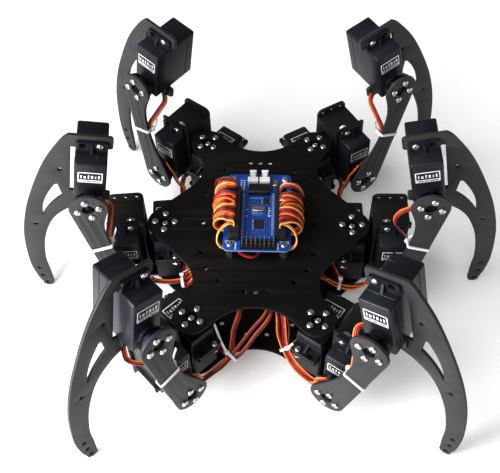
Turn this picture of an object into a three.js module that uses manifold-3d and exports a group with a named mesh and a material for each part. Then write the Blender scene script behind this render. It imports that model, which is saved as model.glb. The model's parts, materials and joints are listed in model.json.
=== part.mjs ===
// Six-legged walking robot with eighteen hobby servos, in millimetres, +Z up.
// Origin: on the floor under the middle of the object. +X is the robot's right,
// +Y its back. It rests on its belly screws with all six feet on the floor.
import * as THREE from 'three';
import { mergeVertices } from 'three/addons/utils/BufferGeometryUtils.js';
import Module from 'manifold-3d';

const wasm = await Module();
wasm.setup();

// ---- Driving dimensions -------------------------------------------------
const GAP = 0.3;                 // clearance between neighbouring pieces
const SHEET = 2;                 // thickness of every cut plate

// Decks
const TOP_Z = 59;                // upper face of the top deck above the floor
const BELLY_Z = 2.2;             // lower face of the bottom deck
const ARM_END_R = 12.5;          // round end of each of the six arms
const CORNER_ARM = { x: 41, y: 78 };
const MIDDLE_ARM = { x: 66, y: 0 };
const SIDE_NOTCH = { x: 66.5, y: 51, r: 24 };
const END_NOTCH = { y: 105.5, r: 36 };

// Standard servo: shaft axis at x = 0, ears' rear face at z = 0
const CASE_W = 20;               // width of the case
const CASE_NEAR = 10;            // shaft to the near end
const CASE_FAR = 30;             // shaft to the far end
const CASE_FRONT = 13.6;         // output face above the ears' rear face
const CASE_REAR = 24.6;          // case depth behind the ears
const EAR_OUT = 7.2;             // ear beyond each end of the case
const EAR_T = 2.5;
const EAR_HOLE_R = 2.1;
const EAR_HOLE_IN = 4.75;        // hole centres beyond the case ends
const BOSS_R = 6;
const BOSS_H = 2;

// Metal horn: hub under a round disc with four screws
const HORN_R = 10;
const HORN_PCD_R = 7;
const HORN_HUB_H = 2.6;
const STACK = 24.8;              // ears' rear face to the driven plate's outer face
const SCREW_R = 1.3;
const SCREW_HEAD_R = 2.4;
const SCREW_HEAD_H = 1.6;

// Leg
const HIP_OUT = 28;              // yaw axis to lift axis
const HIP_Z = 30.5;              // lift axis above the floor
const FEMUR = 85;                // lift axis to knee axis
const PLATE_OUT = 31;            // outer face of the femur plate from the leg's middle
const EARS_AT = PLATE_OUT - STACK;   // ears' rear face of the lift and knee servos
const FEMUR_END_R = 12.3;
const FEMUR_WAIST = 1.8;         // inboard edge's nearest distance to the axis line
const KNEE_LEAN = THREE.MathUtils.degToRad(13.2);   // knee servo leans inboard
const TIP = { x: 53.8, z: -109, r: 4 };             // round toe, from the knee axis

// Rest pose of each leg in degrees: heading from straight out, and femur above level
const LEGS = [
  { name: 'front_left', side: -1, row: -1, heading: -44.9, lift: 79.5 },
  { name: 'middle_left', side: -1, row: 0, heading: -6.2, lift: 80.2 },
  { name: 'back_left', side: -1, row: 1, heading: 36.5, lift: 84.2 },
  { name: 'front_right', side: 1, row: -1, heading: -33.7, lift: 75.0 },
  { name: 'middle_right', side: 1, row: 0, heading: 0.8, lift: 79.9 },
  { name: 'back_right', side: 1, row: 1, heading: 32.2, lift: 75.2 },
];

// Controller, columns and battery on the middle of the decks
const BOARD = { x: 46, y: 68, t: 1.6, r: 4, z: TOP_Z + 10 };
const COLUMN = { x: 18.3, y: 29.2, r: 3, screwR: 1.4, headR: 2.7, headH: 1.9 };
const BOARD_Y = 1.5;              // middle of the board and its columns
const COIL_Y = [-22, 27];         // front and back of the lead loops beside the board
const BATTERY = { x: 29, y: 70, z: 17, mid: 8 };
const PIVOT_R = 3.4;              // foot of each hip bracket, in the bottom deck

// ---- Materials ----------------------------------------------------------
const paint = (color, roughness, metalness) => () =>
  new THREE.MeshStandardMaterial({ color, roughness, metalness });
const PLATE_BLACK = paint(0x26272b, 0.45, 0.6);
const SERVO_BLACK = paint(0x15161a, 0.35, 0.05);
const HORN_DARK = paint(0x2b3040, 0.35, 0.8);
const STEEL = paint(0xc9ccd1, 0.3, 1.0);
const BOARD_BLUE = paint(0x1c3f9e, 0.4, 0.1);
const WRAP_BLUE = paint(0x27448c, 0.5, 0.0);
const LEAD_ORANGE = paint(0xc8511f, 0.55, 0.0);

// ---- Solids -------------------------------------------------------------
function solid(geometry) {
  const g = geometry.clone();
  g.deleteAttribute('normal');
  g.deleteAttribute('uv');
  const m = mergeVertices(g, 1e-4);
  return new wasm.Manifold(new wasm.Mesh({
    numProp: 3,
    vertProperties: new Float32Array(m.attributes.position.array),
    triVerts: new Uint32Array(m.index.array),
  }));
}

function geometryOf(manifold) {
  const mesh = manifold.getMesh();
  const g = new THREE.BufferGeometry();
  g.setAttribute('position', new THREE.BufferAttribute(mesh.vertProperties, 3));
  g.setIndex(new THREE.BufferAttribute(mesh.triVerts, 1));
  g.computeVertexNormals();
  return g;
}

const join = (...parts) => parts.reduce((a, b) => a.add(b));
const cut = (body, ...tools) => tools.reduce((a, b) => a.subtract(b), body);

// Box between two opposite corners.
function block([x0, x1], [y0, y1], [z0, z1]) {
  const g = new THREE.BoxGeometry(Math.abs(x1 - x0), Math.abs(y1 - y0), Math.abs(z1 - z0));
  return solid(g.translate((x0 + x1) / 2, (y0 + y1) / 2, (z0 + z1) / 2));
}

// Upright cylinder at (x, y) between two heights.
function post(x, y, r, z0, z1, sides = 10) {
  const g = new THREE.CylinderGeometry(r, r, z1 - z0, sides);
  return solid(g.rotateX(Math.PI / 2).translate(x, y, (z0 + z1) / 2));
}

// Sheet of an outline, z0 to z1, with the outline counter-clockwise and its holes clockwise.
function sheet(shape, z0, z1, curveSegments) {
  const turned = (points, clockwise) =>
    (THREE.ShapeUtils.isClockWise(points) === clockwise ? points : points.reverse());
  const drawn = shape.extractPoints(curveSegments);
  const outline = new THREE.Shape(turned(drawn.shape, false));
  outline.holes = drawn.holes.map((hole) => new THREE.Path(turned(hole, true)));
  const options = { depth: z1 - z0, bevelEnabled: false, steps: 1 };
  return new THREE.ExtrudeGeometry(outline, options).translate(0, 0, z0);
}

// Flat plate of an outline, between two heights.
const plate = (shape, z0, z1, curveSegments = 8) => solid(sheet(shape, z0, z1, curveSegments));

// Round hole as a path of straight sides.
function circlePath(x, y, r, sides = r < 3 ? 6 : 12) {
  const points = Array.from({ length: sides }, (_, i) => {
    const a = (2 * Math.PI * i) / sides;
    return new THREE.Vector2(x + r * Math.cos(a), y - r * Math.sin(a));
  });
  return new THREE.Path(points);
}

// A leg's own frame has x outward, z up and its output side along -side * y.
// Plate of an outline drawn in (outward, up), between two distances from the
// leg's middle on its output side.
function onEdge(shape, side, w0, w1, curveSegments = 8) {
  const [z0, z1] = side > 0 ? [w0, w1] : [-w1, -w0];
  return solid(sheet(shape, z0, z1, curveSegments).rotateX(Math.PI / 2));
}

// Cylinder along the output side at (outward, up).
function pin(x, z, r, side, w0, w1, sides = 10) {
  const g = new THREE.CylinderGeometry(r, r, w1 - w0, sides);
  return solid(g.translate(x, -side * (w0 + w1) / 2, z));
}

// Box in (outward, output side, up).
function legBlock([u0, u1], side, [w0, w1], [z0, z1]) {
  return block([u0, u1], [-side * w0, -side * w1], [z0, z1]);
}

function piece(name, body, material) {
  const mesh = new THREE.Mesh(geometryOf(body), material());
  mesh.name = name;
  return mesh;
}

// Turns a mesh so that its local x and z lie along two given directions.
function aim(mesh, x, z) {
  const y = new THREE.Vector3().crossVectors(z, x);
  mesh.quaternion.setFromRotationMatrix(new THREE.Matrix4().makeBasis(x, y, z));
  return mesh;
}

// ---- Decks --------------------------------------------------------------
const ARMS = LEGS.map(({ side, row }) => ({
  x: side * (row ? CORNER_ARM.x : MIDDLE_ARM.x),
  y: row * CORNER_ARM.y,
  turn: row ? (side * row > 0 ? 60 : 41) : 0,
}));

// Where a round end and a hollow are joined by a straight edge that touches both.
// Returns the angles of the two touching points, from the end's and hollow's centres.
function edgeBetween(end, hollow, hand) {
  const d = Math.hypot(hollow.x - end.x, hollow.y - end.y);
  const toward = Math.atan2(hollow.y - end.y, hollow.x - end.x);
  const open = Math.acos((ARM_END_R + hollow.r) / d);
  return { end: toward + hand * open, hollow: toward + Math.PI + hand * open };
}

// Deck outline, counter-clockwise: a round end on each arm, a hollow between each pair.
function deckOutline() {
  const arm = (x, y) => ({ x, y });
  const ends = [
    arm(MIDDLE_ARM.x, 0), arm(CORNER_ARM.x, CORNER_ARM.y), arm(-CORNER_ARM.x, CORNER_ARM.y),
    arm(-MIDDLE_ARM.x, 0), arm(-CORNER_ARM.x, -CORNER_ARM.y), arm(CORNER_ARM.x, -CORNER_ARM.y),
  ];
  const hollow = (x, y, r) => ({ x, y, r });
  const { x: sx, y: sy, r: sr } = SIDE_NOTCH;
  const hollows = [
    hollow(sx, sy, sr), hollow(0, END_NOTCH.y, END_NOTCH.r), hollow(-sx, sy, sr),
    hollow(-sx, -sy, sr), hollow(0, -END_NOTCH.y, END_NOTCH.r), hollow(sx, -sy, sr),
  ];
  const shape = new THREE.Shape();
  ends.forEach((end, i) => {
    const before = edgeBetween(end, hollows[(i + 5) % 6], 1);
    const after = edgeBetween(end, hollows[i], -1);
    const next = edgeBetween(ends[(i + 1) % 6], hollows[i], 1);
    shape.absarc(end.x, end.y, ARM_END_R, before.end, after.end, false);
    shape.absarc(hollows[i].x, hollows[i].y, hollows[i].r, after.hollow, next.hollow, true);
  });
  shape.closePath();
  return shape;
}

// Small holes of both decks: a ring round the middle and a row of three at each end.
function deckHoles() {
  const spots = [[38.5, 0], [38.5, 25.8], [33.6, 39.8], [25.4, 49.3], [7.3, 57.7], [0, 57.7]];
  const all = new Map();
  for (const [x, y] of spots) {
    for (const [px, py] of [[x, y], [-x, y], [x, -y], [-x, -y]]) {
      all.set(`${px || 0},${py || 0}`, [px, py]);
    }
  }
  return [...all.values()];
}

function columnSpots() {
  return [-1, 1].flatMap((sx) => [-1, 1].map((sy) => [sx * COLUMN.x, BOARD_Y + sy * COLUMN.y]));
}

function deck(z, armHoles) {
  const shape = deckOutline();
  for (const [x, y] of deckHoles()) shape.holes.push(circlePath(x, y, 1.7));
  for (const [x, y] of columnSpots()) shape.holes.push(circlePath(x, y, COLUMN.screwR + GAP));
  for (const arm of ARMS) {
    for (const [x, y, r] of armHoles(arm)) shape.holes.push(circlePath(x, y, r));
  }
  return plate(shape, z, z + SHEET, 4);
}

// Centres of a horn's four screws round (x, y).
function hornScrews(x, y, turnDeg) {
  return [0, 1, 2, 3].map((i) => {
    const a = THREE.MathUtils.degToRad(turnDeg + 90 * i);
    return [x + HORN_PCD_R * Math.cos(a), y + HORN_PCD_R * Math.sin(a)];
  });
}

const topHoles = ({ x, y, turn }) => [
  [x, y, 4],
  ...hornScrews(x, y, turn).map(([hx, hy]) => [hx, hy, SCREW_R + GAP]),
];
const bottomHoles = ({ x, y }) => [[x, y, PIVOT_R + GAP]];

function deckColumn(x, y) {
  const { r, screwR, headR, headH } = COLUMN;
  const underTop = TOP_Z - SHEET - GAP;
  return join(
    post(x, y, headR, 0, headH, 8),
    post(x, y, screwR, headH / 2, underTop, 6),
    post(x, y, r, BELLY_Z + SHEET + GAP, underTop, 6),
    post(x, y, screwR, underTop - 1, TOP_Z + 1, 6),
    post(x, y, r, TOP_Z + GAP, BOARD.z - GAP, 6),
    post(x, y, screwR, BOARD.z - 1, BOARD.z + BOARD.t + 1, 6),
    post(x, y, headR, BOARD.z + BOARD.t + GAP, BOARD.z + BOARD.t + GAP + SCREW_HEAD_H, 8),
  );
}

// Circuit board with its header blocks, along its long sides and its front edge.
function controllerBoard() {
  const { x, y, t, r, z } = BOARD;
  const [hx, hy] = [x / 2 - r, y / 2 - r];
  const shape = new THREE.Shape();
  shape.absarc(hx, hy + BOARD_Y, r, 0, Math.PI / 2, false);
  shape.absarc(-hx, hy + BOARD_Y, r, Math.PI / 2, Math.PI, false);
  shape.absarc(-hx, -hy + BOARD_Y, r, Math.PI, 1.5 * Math.PI, false);
  shape.absarc(hx, -hy + BOARD_Y, r, 1.5 * Math.PI, 2 * Math.PI, false);
  for (const [cx, cy] of columnSpots()) shape.holes.push(circlePath(cx, cy, COLUMN.screwR + GAP));
  const top = z + t;
  return join(
    plate(shape, z, top, 4),
    block([-12.5, 12.5], [-30, -24.5], [top - 0.5, top + 5]),
    block([-13.5, -8.5], [-22, 22], [top - 0.5, top + 3]),
    block([8.5, 13.5], [-22, 22], [top - 0.5, top + 3]),
    block([-8, 8], [20, 33], [top - 0.5, top + 6]),
  );
}

// Loops of servo leads that leave the headers and fold down beside the board.
function leadCoil(side) {
  const inner = BOARD.x / 2 + GAP;
  const over = 15;
  const top = BOARD.z + BOARD.t + GAP;
  const shape = new THREE.Shape();
  shape.moveTo(inner, TOP_Z + GAP);
  shape.lineTo(inner + 7, TOP_Z + GAP);
  shape.bezierCurveTo(inner + 16, TOP_Z + 4, inner + 14, top + 15, inner, top + 14);
  shape.quadraticCurveTo(over, top + 13, over, top);
  shape.lineTo(inner, top);
  shape.closePath();
  const options = { depth: COIL_Y[1] - COIL_Y[0], bevelEnabled: false, curveSegments: 8, steps: 1 };
  const g = new THREE.ExtrudeGeometry(shape, options).rotateX(Math.PI / 2);
  g.translate(0, COIL_Y[1], 0);
  return side > 0 ? solid(g) : solid(g.rotateZ(Math.PI).translate(0, COIL_Y[0] + COIL_Y[1], 0));
}

// ---- Servo, horn and bracket ---------------------------------------------
function servo() {
  const ears = block([-CASE_NEAR - EAR_OUT, CASE_FAR + EAR_OUT], [-CASE_W / 2, CASE_W / 2],
    [0, EAR_T]);
  const holes = [-CASE_NEAR - EAR_HOLE_IN, CASE_FAR + EAR_HOLE_IN].flatMap((x) =>
    [-5, 5].map((y) => post(x, y, EAR_HOLE_R, -1, EAR_T + 1, 6)));
  const body = block([-CASE_NEAR, CASE_FAR], [-CASE_W / 2, CASE_W / 2], [-CASE_REAR, CASE_FRONT]);
  const boss = post(0, 0, BOSS_R, CASE_FRONT - 1, CASE_FRONT + BOSS_H, 12);
  return cut(ears, ...holes).add(body).add(boss);
}

const HORN_Z = CASE_FRONT + BOSS_H + GAP;
const DISC_Z = HORN_Z + HORN_HUB_H;

// Horn under the top deck, with its screws through the deck; z from the ears' rear face.
function deckHorn(turn) {
  const under = STACK - SHEET - GAP;
  const head = STACK + GAP;
  return join(
    post(0, 0, 4.5, HORN_Z, DISC_Z + 1),
    post(0, 0, HORN_R, DISC_Z, under, 16),
    post(0, 0, 2.6, under - 0.5, under + 1.2, 6),
    ...hornScrews(0, 0, turn).flatMap(([x, y]) => [
      post(x, y, SCREW_R, under - 1, head + 0.5, 6),
      post(x, y, SCREW_HEAD_R, head, head + SCREW_HEAD_H, 6),
    ]),
  );
}

// Folded bracket: a cradle under the yaw servo, an upright wall between the two servos,
// a back plate behind the lift servo and a flange behind each ear.
function hipBracket(side) {
  const ears = TOP_Z - STACK;
  const base = ears - CASE_REAR - GAP;
  const near = CASE_NEAR + GAP;
  const far = -CASE_FAR - GAP;
  const [wall0, wall1] = [HIP_OUT - CASE_W / 2 - GAP - 2.7, HIP_OUT - CASE_W / 2 - GAP - 0.7];
  const back = EARS_AT - CASE_REAR - GAP;
  const top = HIP_Z + CASE_FAR + GAP;
  const low = HIP_Z - CASE_NEAR - GAP;
  const flange = [EARS_AT - GAP - SHEET, EARS_AT - GAP];
  const outer = HIP_OUT + CASE_W / 2 + 2;
  const r = 4;
  const backShape = new THREE.Shape();
  backShape.moveTo(wall0, base - SHEET);
  backShape.lineTo(outer, base - SHEET);
  backShape.absarc(outer - r, top + 8 - r, r, 0, Math.PI / 2, false);
  backShape.absarc(wall0 + r, top + 8 - r, r, Math.PI / 2, Math.PI, false);
  backShape.closePath();
  return join(
    legBlock([-10, wall1], side, [far - SHEET, near + SHEET], [base - SHEET, base]),
    legBlock([-8, 10], side, [near, near + SHEET], [base - 1, ears - GAP]),
    legBlock([-8, 10], side, [near, CASE_NEAR + EAR_OUT], [ears - GAP - SHEET, ears - GAP]),
    legBlock([-8, 10], side, [far - SHEET, far], [base - 1, ears - GAP]),
    legBlock([-8, 10], side, [-CASE_FAR - EAR_OUT, far], [ears - GAP - SHEET, ears - GAP]),
    legBlock([wall0, wall1], side, [back - SHEET, flange[1]], [base - SHEET, top + SHEET]),
    onEdge(backShape, side, back - SHEET, back, 4),
    legBlock([wall0, outer], side, [back - 1, flange[1]], [top, top + SHEET]),
    legBlock([wall0, outer], side, flange, [top, top + EAR_OUT]),
    legBlock([wall0, outer], side, [back - 1, flange[1]], [low - SHEET, low]),
    legBlock([wall0, outer], side, flange, [low - EAR_OUT, low]),
    post(0, 0, 6, BELLY_Z + SHEET + GAP, base - 1),
    post(0, 0, PIVOT_R, 0.8, base - 1, 14),
  );
}

// ---- Femur and tibia ------------------------------------------------------
// Drawn with x from the lift axis to the knee axis and z towards the body.
function femurLink(side) {
  const r = FEMUR_END_R;
  const shape = new THREE.Shape();
  shape.absarc(0, 0, r, 0.42 * Math.PI, 1.5 * Math.PI, false);
  shape.absarc(FEMUR, 0, r, 1.5 * Math.PI, 2.62 * Math.PI, false);
  shape.bezierCurveTo(FEMUR - 16, 4, FEMUR - 22, FEMUR_WAIST, FEMUR - 36, FEMUR_WAIST);
  shape.bezierCurveTo(FEMUR - 52, FEMUR_WAIST, 20, 7, r * Math.cos(0.42 * Math.PI),
    r * Math.sin(0.42 * Math.PI));
  shape.closePath();
  for (const x of [0, FEMUR]) shape.holes.push(circlePath(x, 0, 4));
  const inner = PLATE_OUT - SHEET;
  const horns = [0, FEMUR].flatMap((x) => [
    pin(x, 0, 4.5, side, EARS_AT + HORN_Z, EARS_AT + DISC_Z + 1),
    pin(x, 0, HORN_R, side, EARS_AT + DISC_Z, inner, 16),
    pin(x, 0, 2.6, side, inner - 0.5, inner + 1.2, 6),
  ]);
  return join(onEdge(shape, side, inner - 0.02, PLATE_OUT, 5), ...horns);
}

// Drawn in (outward, up) from the knee axis, as the leg stands at its usual spread.
function tibiaPlate(side) {
  const c = Math.cos(KNEE_LEAN);
  const s = Math.sin(KNEE_LEAN);
  const at = (across, along) => new THREE.Vector2(across * c - along * s, across * s + along * c);
  const shape = new THREE.Shape();
  const lineTo = (across, along) => {
    const p = at(across, along);
    shape.lineTo(p.x, p.y);
  };
  const round = (across, along, acrossEnd, alongEnd) => {
    const [corner, end] = [at(across, along), at(acrossEnd, alongEnd)];
    shape.quadraticCurveTo(corner.x, corner.y, end.x, end.y);
  };
  // The servo slides in from the inboard side, between a lower and an upper arm.
  const armEnd = -13;
  const [slotLow, slotHigh] = [-CASE_NEAR - 0.4, CASE_FAR + 0.4];
  const start = at(armEnd, -18);
  shape.moveTo(start.x, start.y);
  lineTo(armEnd, slotLow - 2);
  round(armEnd, slotLow, armEnd + 2, slotLow);
  lineTo(13, slotLow);
  lineTo(13, slotHigh);
  lineTo(armEnd + 2, slotHigh);
  round(armEnd, slotHigh, armEnd, slotHigh + 2);
  lineTo(armEnd, 37.5);
  round(armEnd, 40.5, armEnd + 3, 40.5);
  lineTo(14.5, 40.5);
  shape.splineThru([[11.3, 37.8], [24.7, 21.6], [37, 0.7], [49, -25], [57, -52], [60.7, -82],
    [59.6, -101]].map(([x, z]) => new THREE.Vector2(x, z)));
  shape.absarc(TIP.x, TIP.z, TIP.r, 0.25, -Math.PI - 0.1, true);
  shape.splineThru([[49.2, -95], [48.6, -79], [43.3, -56], [33, -35.5], [19.1, -24.8],
    [4, -21]].map(([x, z]) => new THREE.Vector2(x, z)));
  lineTo(-10, -19.5);
  shape.closePath();

  const windowPath = new THREE.Path();
  windowPath.moveTo(21.6, -0.5);
  windowPath.lineTo(20.8, -12);
  windowPath.quadraticCurveTo(31, -18, 38.2, -29.6);
  windowPath.quadraticCurveTo(36.5, -15, 23.4, -0.5);
  windowPath.closePath();
  shape.holes.push(windowPath);
  const holes = [[16.8, 13, 1.4], [44.8, -38.8, 1.5], [55.6, -89.8, 1.6], [55.4, -99.4, 1.6],
    [54.4, -108.6, 1.6]];
  for (const [x, z, r] of holes) shape.holes.push(circlePath(x, z, r));
  return onEdge(shape, side, EARS_AT - GAP - SHEET, EARS_AT - GAP, 2);
}

// Stretch of the knee servo's lead that lies along the inside of the femur plate.
function kneeLead(side) {
  const w = PLATE_OUT - SHEET - GAP - 2;
  const points = [[70, 1], [58, -3], [44, -5], [30, -3], [14, 1]];
  const route = new THREE.CatmullRomCurve3(points.map(([x, z]) =>
    new THREE.Vector3(x, -side * w, z)));
  const section = new THREE.Shape().absarc(0, 0, 1.9, 0, 2 * Math.PI, false);
  const options = { extrudePath: route, steps: 8, curveSegments: 3, bevelEnabled: false };
  return solid(new THREE.ExtrudeGeometry(section, options));
}

// ---- Assembly -------------------------------------------------------------
const body = new THREE.Group();
body.add(
  piece('top_plate', deck(TOP_Z - SHEET, topHoles), PLATE_BLACK),
  piece('bottom_plate', deck(BELLY_Z, bottomHoles), PLATE_BLACK),
  piece('controller_board', controllerBoard(), BOARD_BLUE),
  piece('battery_pack', block([-BATTERY.x / 2, BATTERY.x / 2],
    [BATTERY.mid - BATTERY.y / 2, BATTERY.mid + BATTERY.y / 2],
    [BELLY_Z + SHEET + GAP, BELLY_Z + SHEET + GAP + BATTERY.z]), WRAP_BLUE),
  piece('lead_coil_left', leadCoil(-1), LEAD_ORANGE),
  piece('lead_coil_right', leadCoil(1), LEAD_ORANGE),
);
columnSpots().forEach(([x, y], i) => {
  const name = `deck_column_${y < 0 ? 'front' : 'back'}_${x < 0 ? 'left' : 'right'}`;
  body.add(piece(name, deckColumn(x, y), STEEL));
});

const UP = new THREE.Vector3(0, 0, 1);
LEGS.forEach(({ name, side, heading, lift }, i) => {
  const output = new THREE.Vector3(0, -side, 0);
  const { x, y, turn } = ARMS[i];

  const horn = piece(`yaw_horn_${name}`, deckHorn(turn), HORN_DARK);
  horn.position.set(x, y, TOP_Z - STACK);
  body.add(horn);

  // Hip: turns about the upright yaw axis.
  const hip = new THREE.Group();
  hip.name = `yaw_${name}`;
  hip.position.set(x, y, 0);
  hip.rotation.z = side > 0 ? THREE.MathUtils.degToRad(heading)
    : Math.PI - THREE.MathUtils.degToRad(heading);
  const yawServo = aim(piece(`yaw_servo_${name}`, servo(), SERVO_BLACK),
    output.clone().negate(), UP);
  yawServo.position.z = TOP_Z - STACK;
  const liftServo = aim(piece(`lift_servo_${name}`, servo(), SERVO_BLACK), UP, output);
  liftServo.position.set(HIP_OUT, -side * EARS_AT, HIP_Z);
  hip.add(yawServo, liftServo, piece(`hip_bracket_${name}`, hipBracket(side), PLATE_BLACK));

  // Femur: turns about the lift axis.
  const rise = THREE.MathUtils.degToRad(lift);
  const femur = new THREE.Group();
  femur.name = `lift_${name}`;
  femur.position.set(HIP_OUT, 0, HIP_Z);
  femur.rotation.y = -rise;
  femur.add(piece(`femur_link_${name}`, femurLink(side), PLATE_BLACK),
    piece(`knee_lead_${name}`, kneeLead(side), LEAD_ORANGE));
  hip.add(femur);

  // Tibia: turns about the knee axis, and its toe just meets the floor.
  const kneeHeight = HIP_Z + FEMUR * Math.sin(rise);
  const reach = Math.hypot(TIP.x, TIP.z);
  const dip = Math.asin((kneeHeight - TIP.r) / reach) - Math.atan2(-TIP.z, TIP.x);
  const tibia = new THREE.Group();
  tibia.name = `knee_${name}`;
  tibia.position.x = FEMUR;
  tibia.rotation.y = rise + dip;
  const lean = new THREE.Vector3(-Math.sin(KNEE_LEAN), 0, Math.cos(KNEE_LEAN));
  const kneeServo = aim(piece(`knee_servo_${name}`, servo(), SERVO_BLACK), lean, output);
  kneeServo.position.y = -side * EARS_AT;
  tibia.add(kneeServo, piece(`tibia_plate_${name}`, tibiaPlate(side), PLATE_BLACK));
  femur.add(tibia);
  body.add(hip);
});

// The origin is the middle of the base of the object's own box.
const extent = new THREE.Box3().setFromObject(body, true);
body.position.set(-(extent.min.x + extent.max.x) / 2, -(extent.min.y + extent.max.y) / 2,
  -extent.min.z);
const robot = new THREE.Group();
robot.add(body);

export default robot;
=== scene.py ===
import json
import random
from math import acos, asin, atan2, cos, hypot, pi, radians, sin, tan

import bmesh
import bpy
from mathutils import Matrix, Vector


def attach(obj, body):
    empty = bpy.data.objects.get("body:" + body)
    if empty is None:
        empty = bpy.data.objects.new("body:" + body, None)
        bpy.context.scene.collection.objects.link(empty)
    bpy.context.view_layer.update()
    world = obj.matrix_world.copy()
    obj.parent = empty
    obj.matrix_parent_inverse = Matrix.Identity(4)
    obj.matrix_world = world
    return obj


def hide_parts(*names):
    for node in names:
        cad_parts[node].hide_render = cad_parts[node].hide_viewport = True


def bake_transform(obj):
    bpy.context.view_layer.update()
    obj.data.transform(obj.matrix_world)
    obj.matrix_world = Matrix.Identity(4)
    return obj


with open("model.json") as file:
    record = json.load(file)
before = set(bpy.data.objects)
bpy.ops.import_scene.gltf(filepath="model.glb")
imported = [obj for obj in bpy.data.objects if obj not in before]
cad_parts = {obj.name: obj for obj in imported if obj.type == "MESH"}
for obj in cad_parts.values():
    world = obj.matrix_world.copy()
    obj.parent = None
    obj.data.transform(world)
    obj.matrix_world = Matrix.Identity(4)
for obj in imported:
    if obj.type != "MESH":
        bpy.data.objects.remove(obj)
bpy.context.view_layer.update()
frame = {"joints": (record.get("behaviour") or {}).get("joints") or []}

MM = 0.001
UP = Vector((0, 0, 1))
I4 = Matrix.Identity(4)
FLIP = Matrix.Rotation(pi, 4, "X")
BOTH = (-1, 1)           # left and right, or any other pair of mirrored places
LEG_NAMES = ["front_left", "middle_left", "back_left", "front_right", "middle_right", "back_right"]

# Sizes shared with the CAD part, in millimetres
SHEET = 2.0
TOP_Z = 59.0
BELLY_Z = 2.2
ARM_END_R = 12.5
SIDE_NOTCH = (66.5, 51.0, 24.0)
END_NOTCH_Y, END_NOTCH_R = 105.5, 36.0
CASE_HALF, CASE_NEAR, CASE_FAR = 10.0, 10.0, 30.0
CASE_FRONT, CASE_REAR = 13.6, 24.6
EAR_OUT, EAR_T, EAR_HOLE_IN = 7.2, 2.5, 4.75
HORN_R, HORN_PCD_R, BOSS_R, BOSS_H = 10.0, 7.0, 6.0, 2.0
STACK = 24.8
HIP_OUT, HIP_Z = 28.0, 30.5
PLATE_OUT = 31.0
EARS_AT = PLATE_OUT - STACK
GAP = 0.3
FEMUR = 85.0
FEMUR_END_R, FEMUR_WAIST = 12.3, 1.8
KNEE_LEAN = radians(13.2)
TIP_X, TIP_Z, TIP_R = 53.8, -109.0, 4.0
BOARD_X, BOARD_Y, BOARD_T, BOARD_R = 46.0, 68.0, 1.6, 4.0
BOARD_Z = TOP_Z + 10
BOARD_MID = 1.5
COLUMN_X, COLUMN_Y = 18.3, 29.2

# The deck's own middle, in the row frame: halfway between the two middle yaw axes.
JOINTS = {j["name"]: j for j in frame["joints"]}
ORIGIN = (Vector(JOINTS["yaw_middle_left"]["pos_m"]) + Vector(JOINTS["yaw_middle_right"]["pos_m"])) / 2
ORIGIN.z = 0.0
DECK = Matrix.Translation(ORIGIN)

# ---- Camera and light -----------------------------------------------------------
YAW, PITCH, ROLL = radians(-3.70), radians(52.8), radians(-1.96)
CAMERA_X, CAMERA_Y, CAMERA_OVER_DECK = 0.01624, -0.34494, 0.43975     # metres from the deck's middle
SENSOR_MM, FOCAL_LENGTH_PX, IMAGE_WIDTH_PX = 36.0, 792.46, 500.0


def linked(name, data):
    """New object with this data, in the scene."""
    o = bpy.data.objects.new(name, data)
    bpy.context.scene.collection.objects.link(o)
    return o


def make_camera():
    """The photographed view: from the front, high up, slightly turned."""
    forward = Vector((sin(YAW) * cos(PITCH), cos(YAW) * cos(PITCH), -sin(PITCH)))
    right = Vector((cos(YAW), -sin(YAW), 0))
    up = right.cross(forward)
    turned_right = right * cos(ROLL) + up * sin(ROLL)
    turned_up = -right * sin(ROLL) + up * cos(ROLL)
    rotation = Matrix((turned_right, turned_up, -forward)).transposed()
    data = bpy.data.cameras.new("camera")
    data.sensor_width = SENSOR_MM
    data.lens = SENSOR_MM * FOCAL_LENGTH_PX / IMAGE_WIDTH_PX
    data.clip_start, data.clip_end = 0.01, 20.0
    camera = linked("camera", data)
    place = ORIGIN + Vector((CAMERA_X, CAMERA_Y, CAMERA_OVER_DECK + TOP_Z * MM))
    camera.matrix_world = Matrix.Translation(place) @ rotation.to_4x4()
    bpy.context.scene.camera = camera


make_camera()


def lamp(name, kind, toward, **settings):
    """Light that comes from the direction toward."""
    data = bpy.data.lights.new(name, kind)
    for key, value in settings.items():
        setattr(data, key, value)
    light = linked(name, data)
    light.rotation_euler = toward.to_track_quat("Z", "Y").to_euler()
    return light


def soft_sun(name, azimuth, elevation, strength):
    """Broad distant light; azimuth 0 is straight in front and grows to the robot's right."""
    a, e = radians(azimuth), radians(elevation)
    toward = Vector((sin(a) * cos(e), -cos(a) * cos(e), sin(e)))
    lamp(name, "SUN", toward, energy=strength, angle=radians(40))


# Light comes from the front and the left, so that upright faces shine and tops stay dark.
soft_sun("front_sun", -24, 50, 1.15)
soft_sun("left_sun", -80, 46, 1.9)
soft_sun("low_left_sun", -45, 18, 0.6)
lamp_place, lamp_target = Vector((-0.32, -0.32, 0.20)), Vector((-0.12, 0, 0.08))
left_lamp = lamp("left_lamp", "AREA", lamp_place - lamp_target, shape="DISK", size=0.18, energy=2.6)
left_lamp.location = lamp_place

world = bpy.data.worlds.new("studio")
bpy.context.scene.world = world
world.use_nodes = True
world.node_tree.nodes["Background"].inputs["Color"].default_value = (1, 1, 1, 1)
world.node_tree.nodes["Background"].inputs["Strength"].default_value = 0.22
bpy.context.scene.view_settings.view_transform = "Standard"
bpy.context.scene.view_settings.gamma = 0.82


# ---- Materials --------------------------------------------------------------


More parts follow.
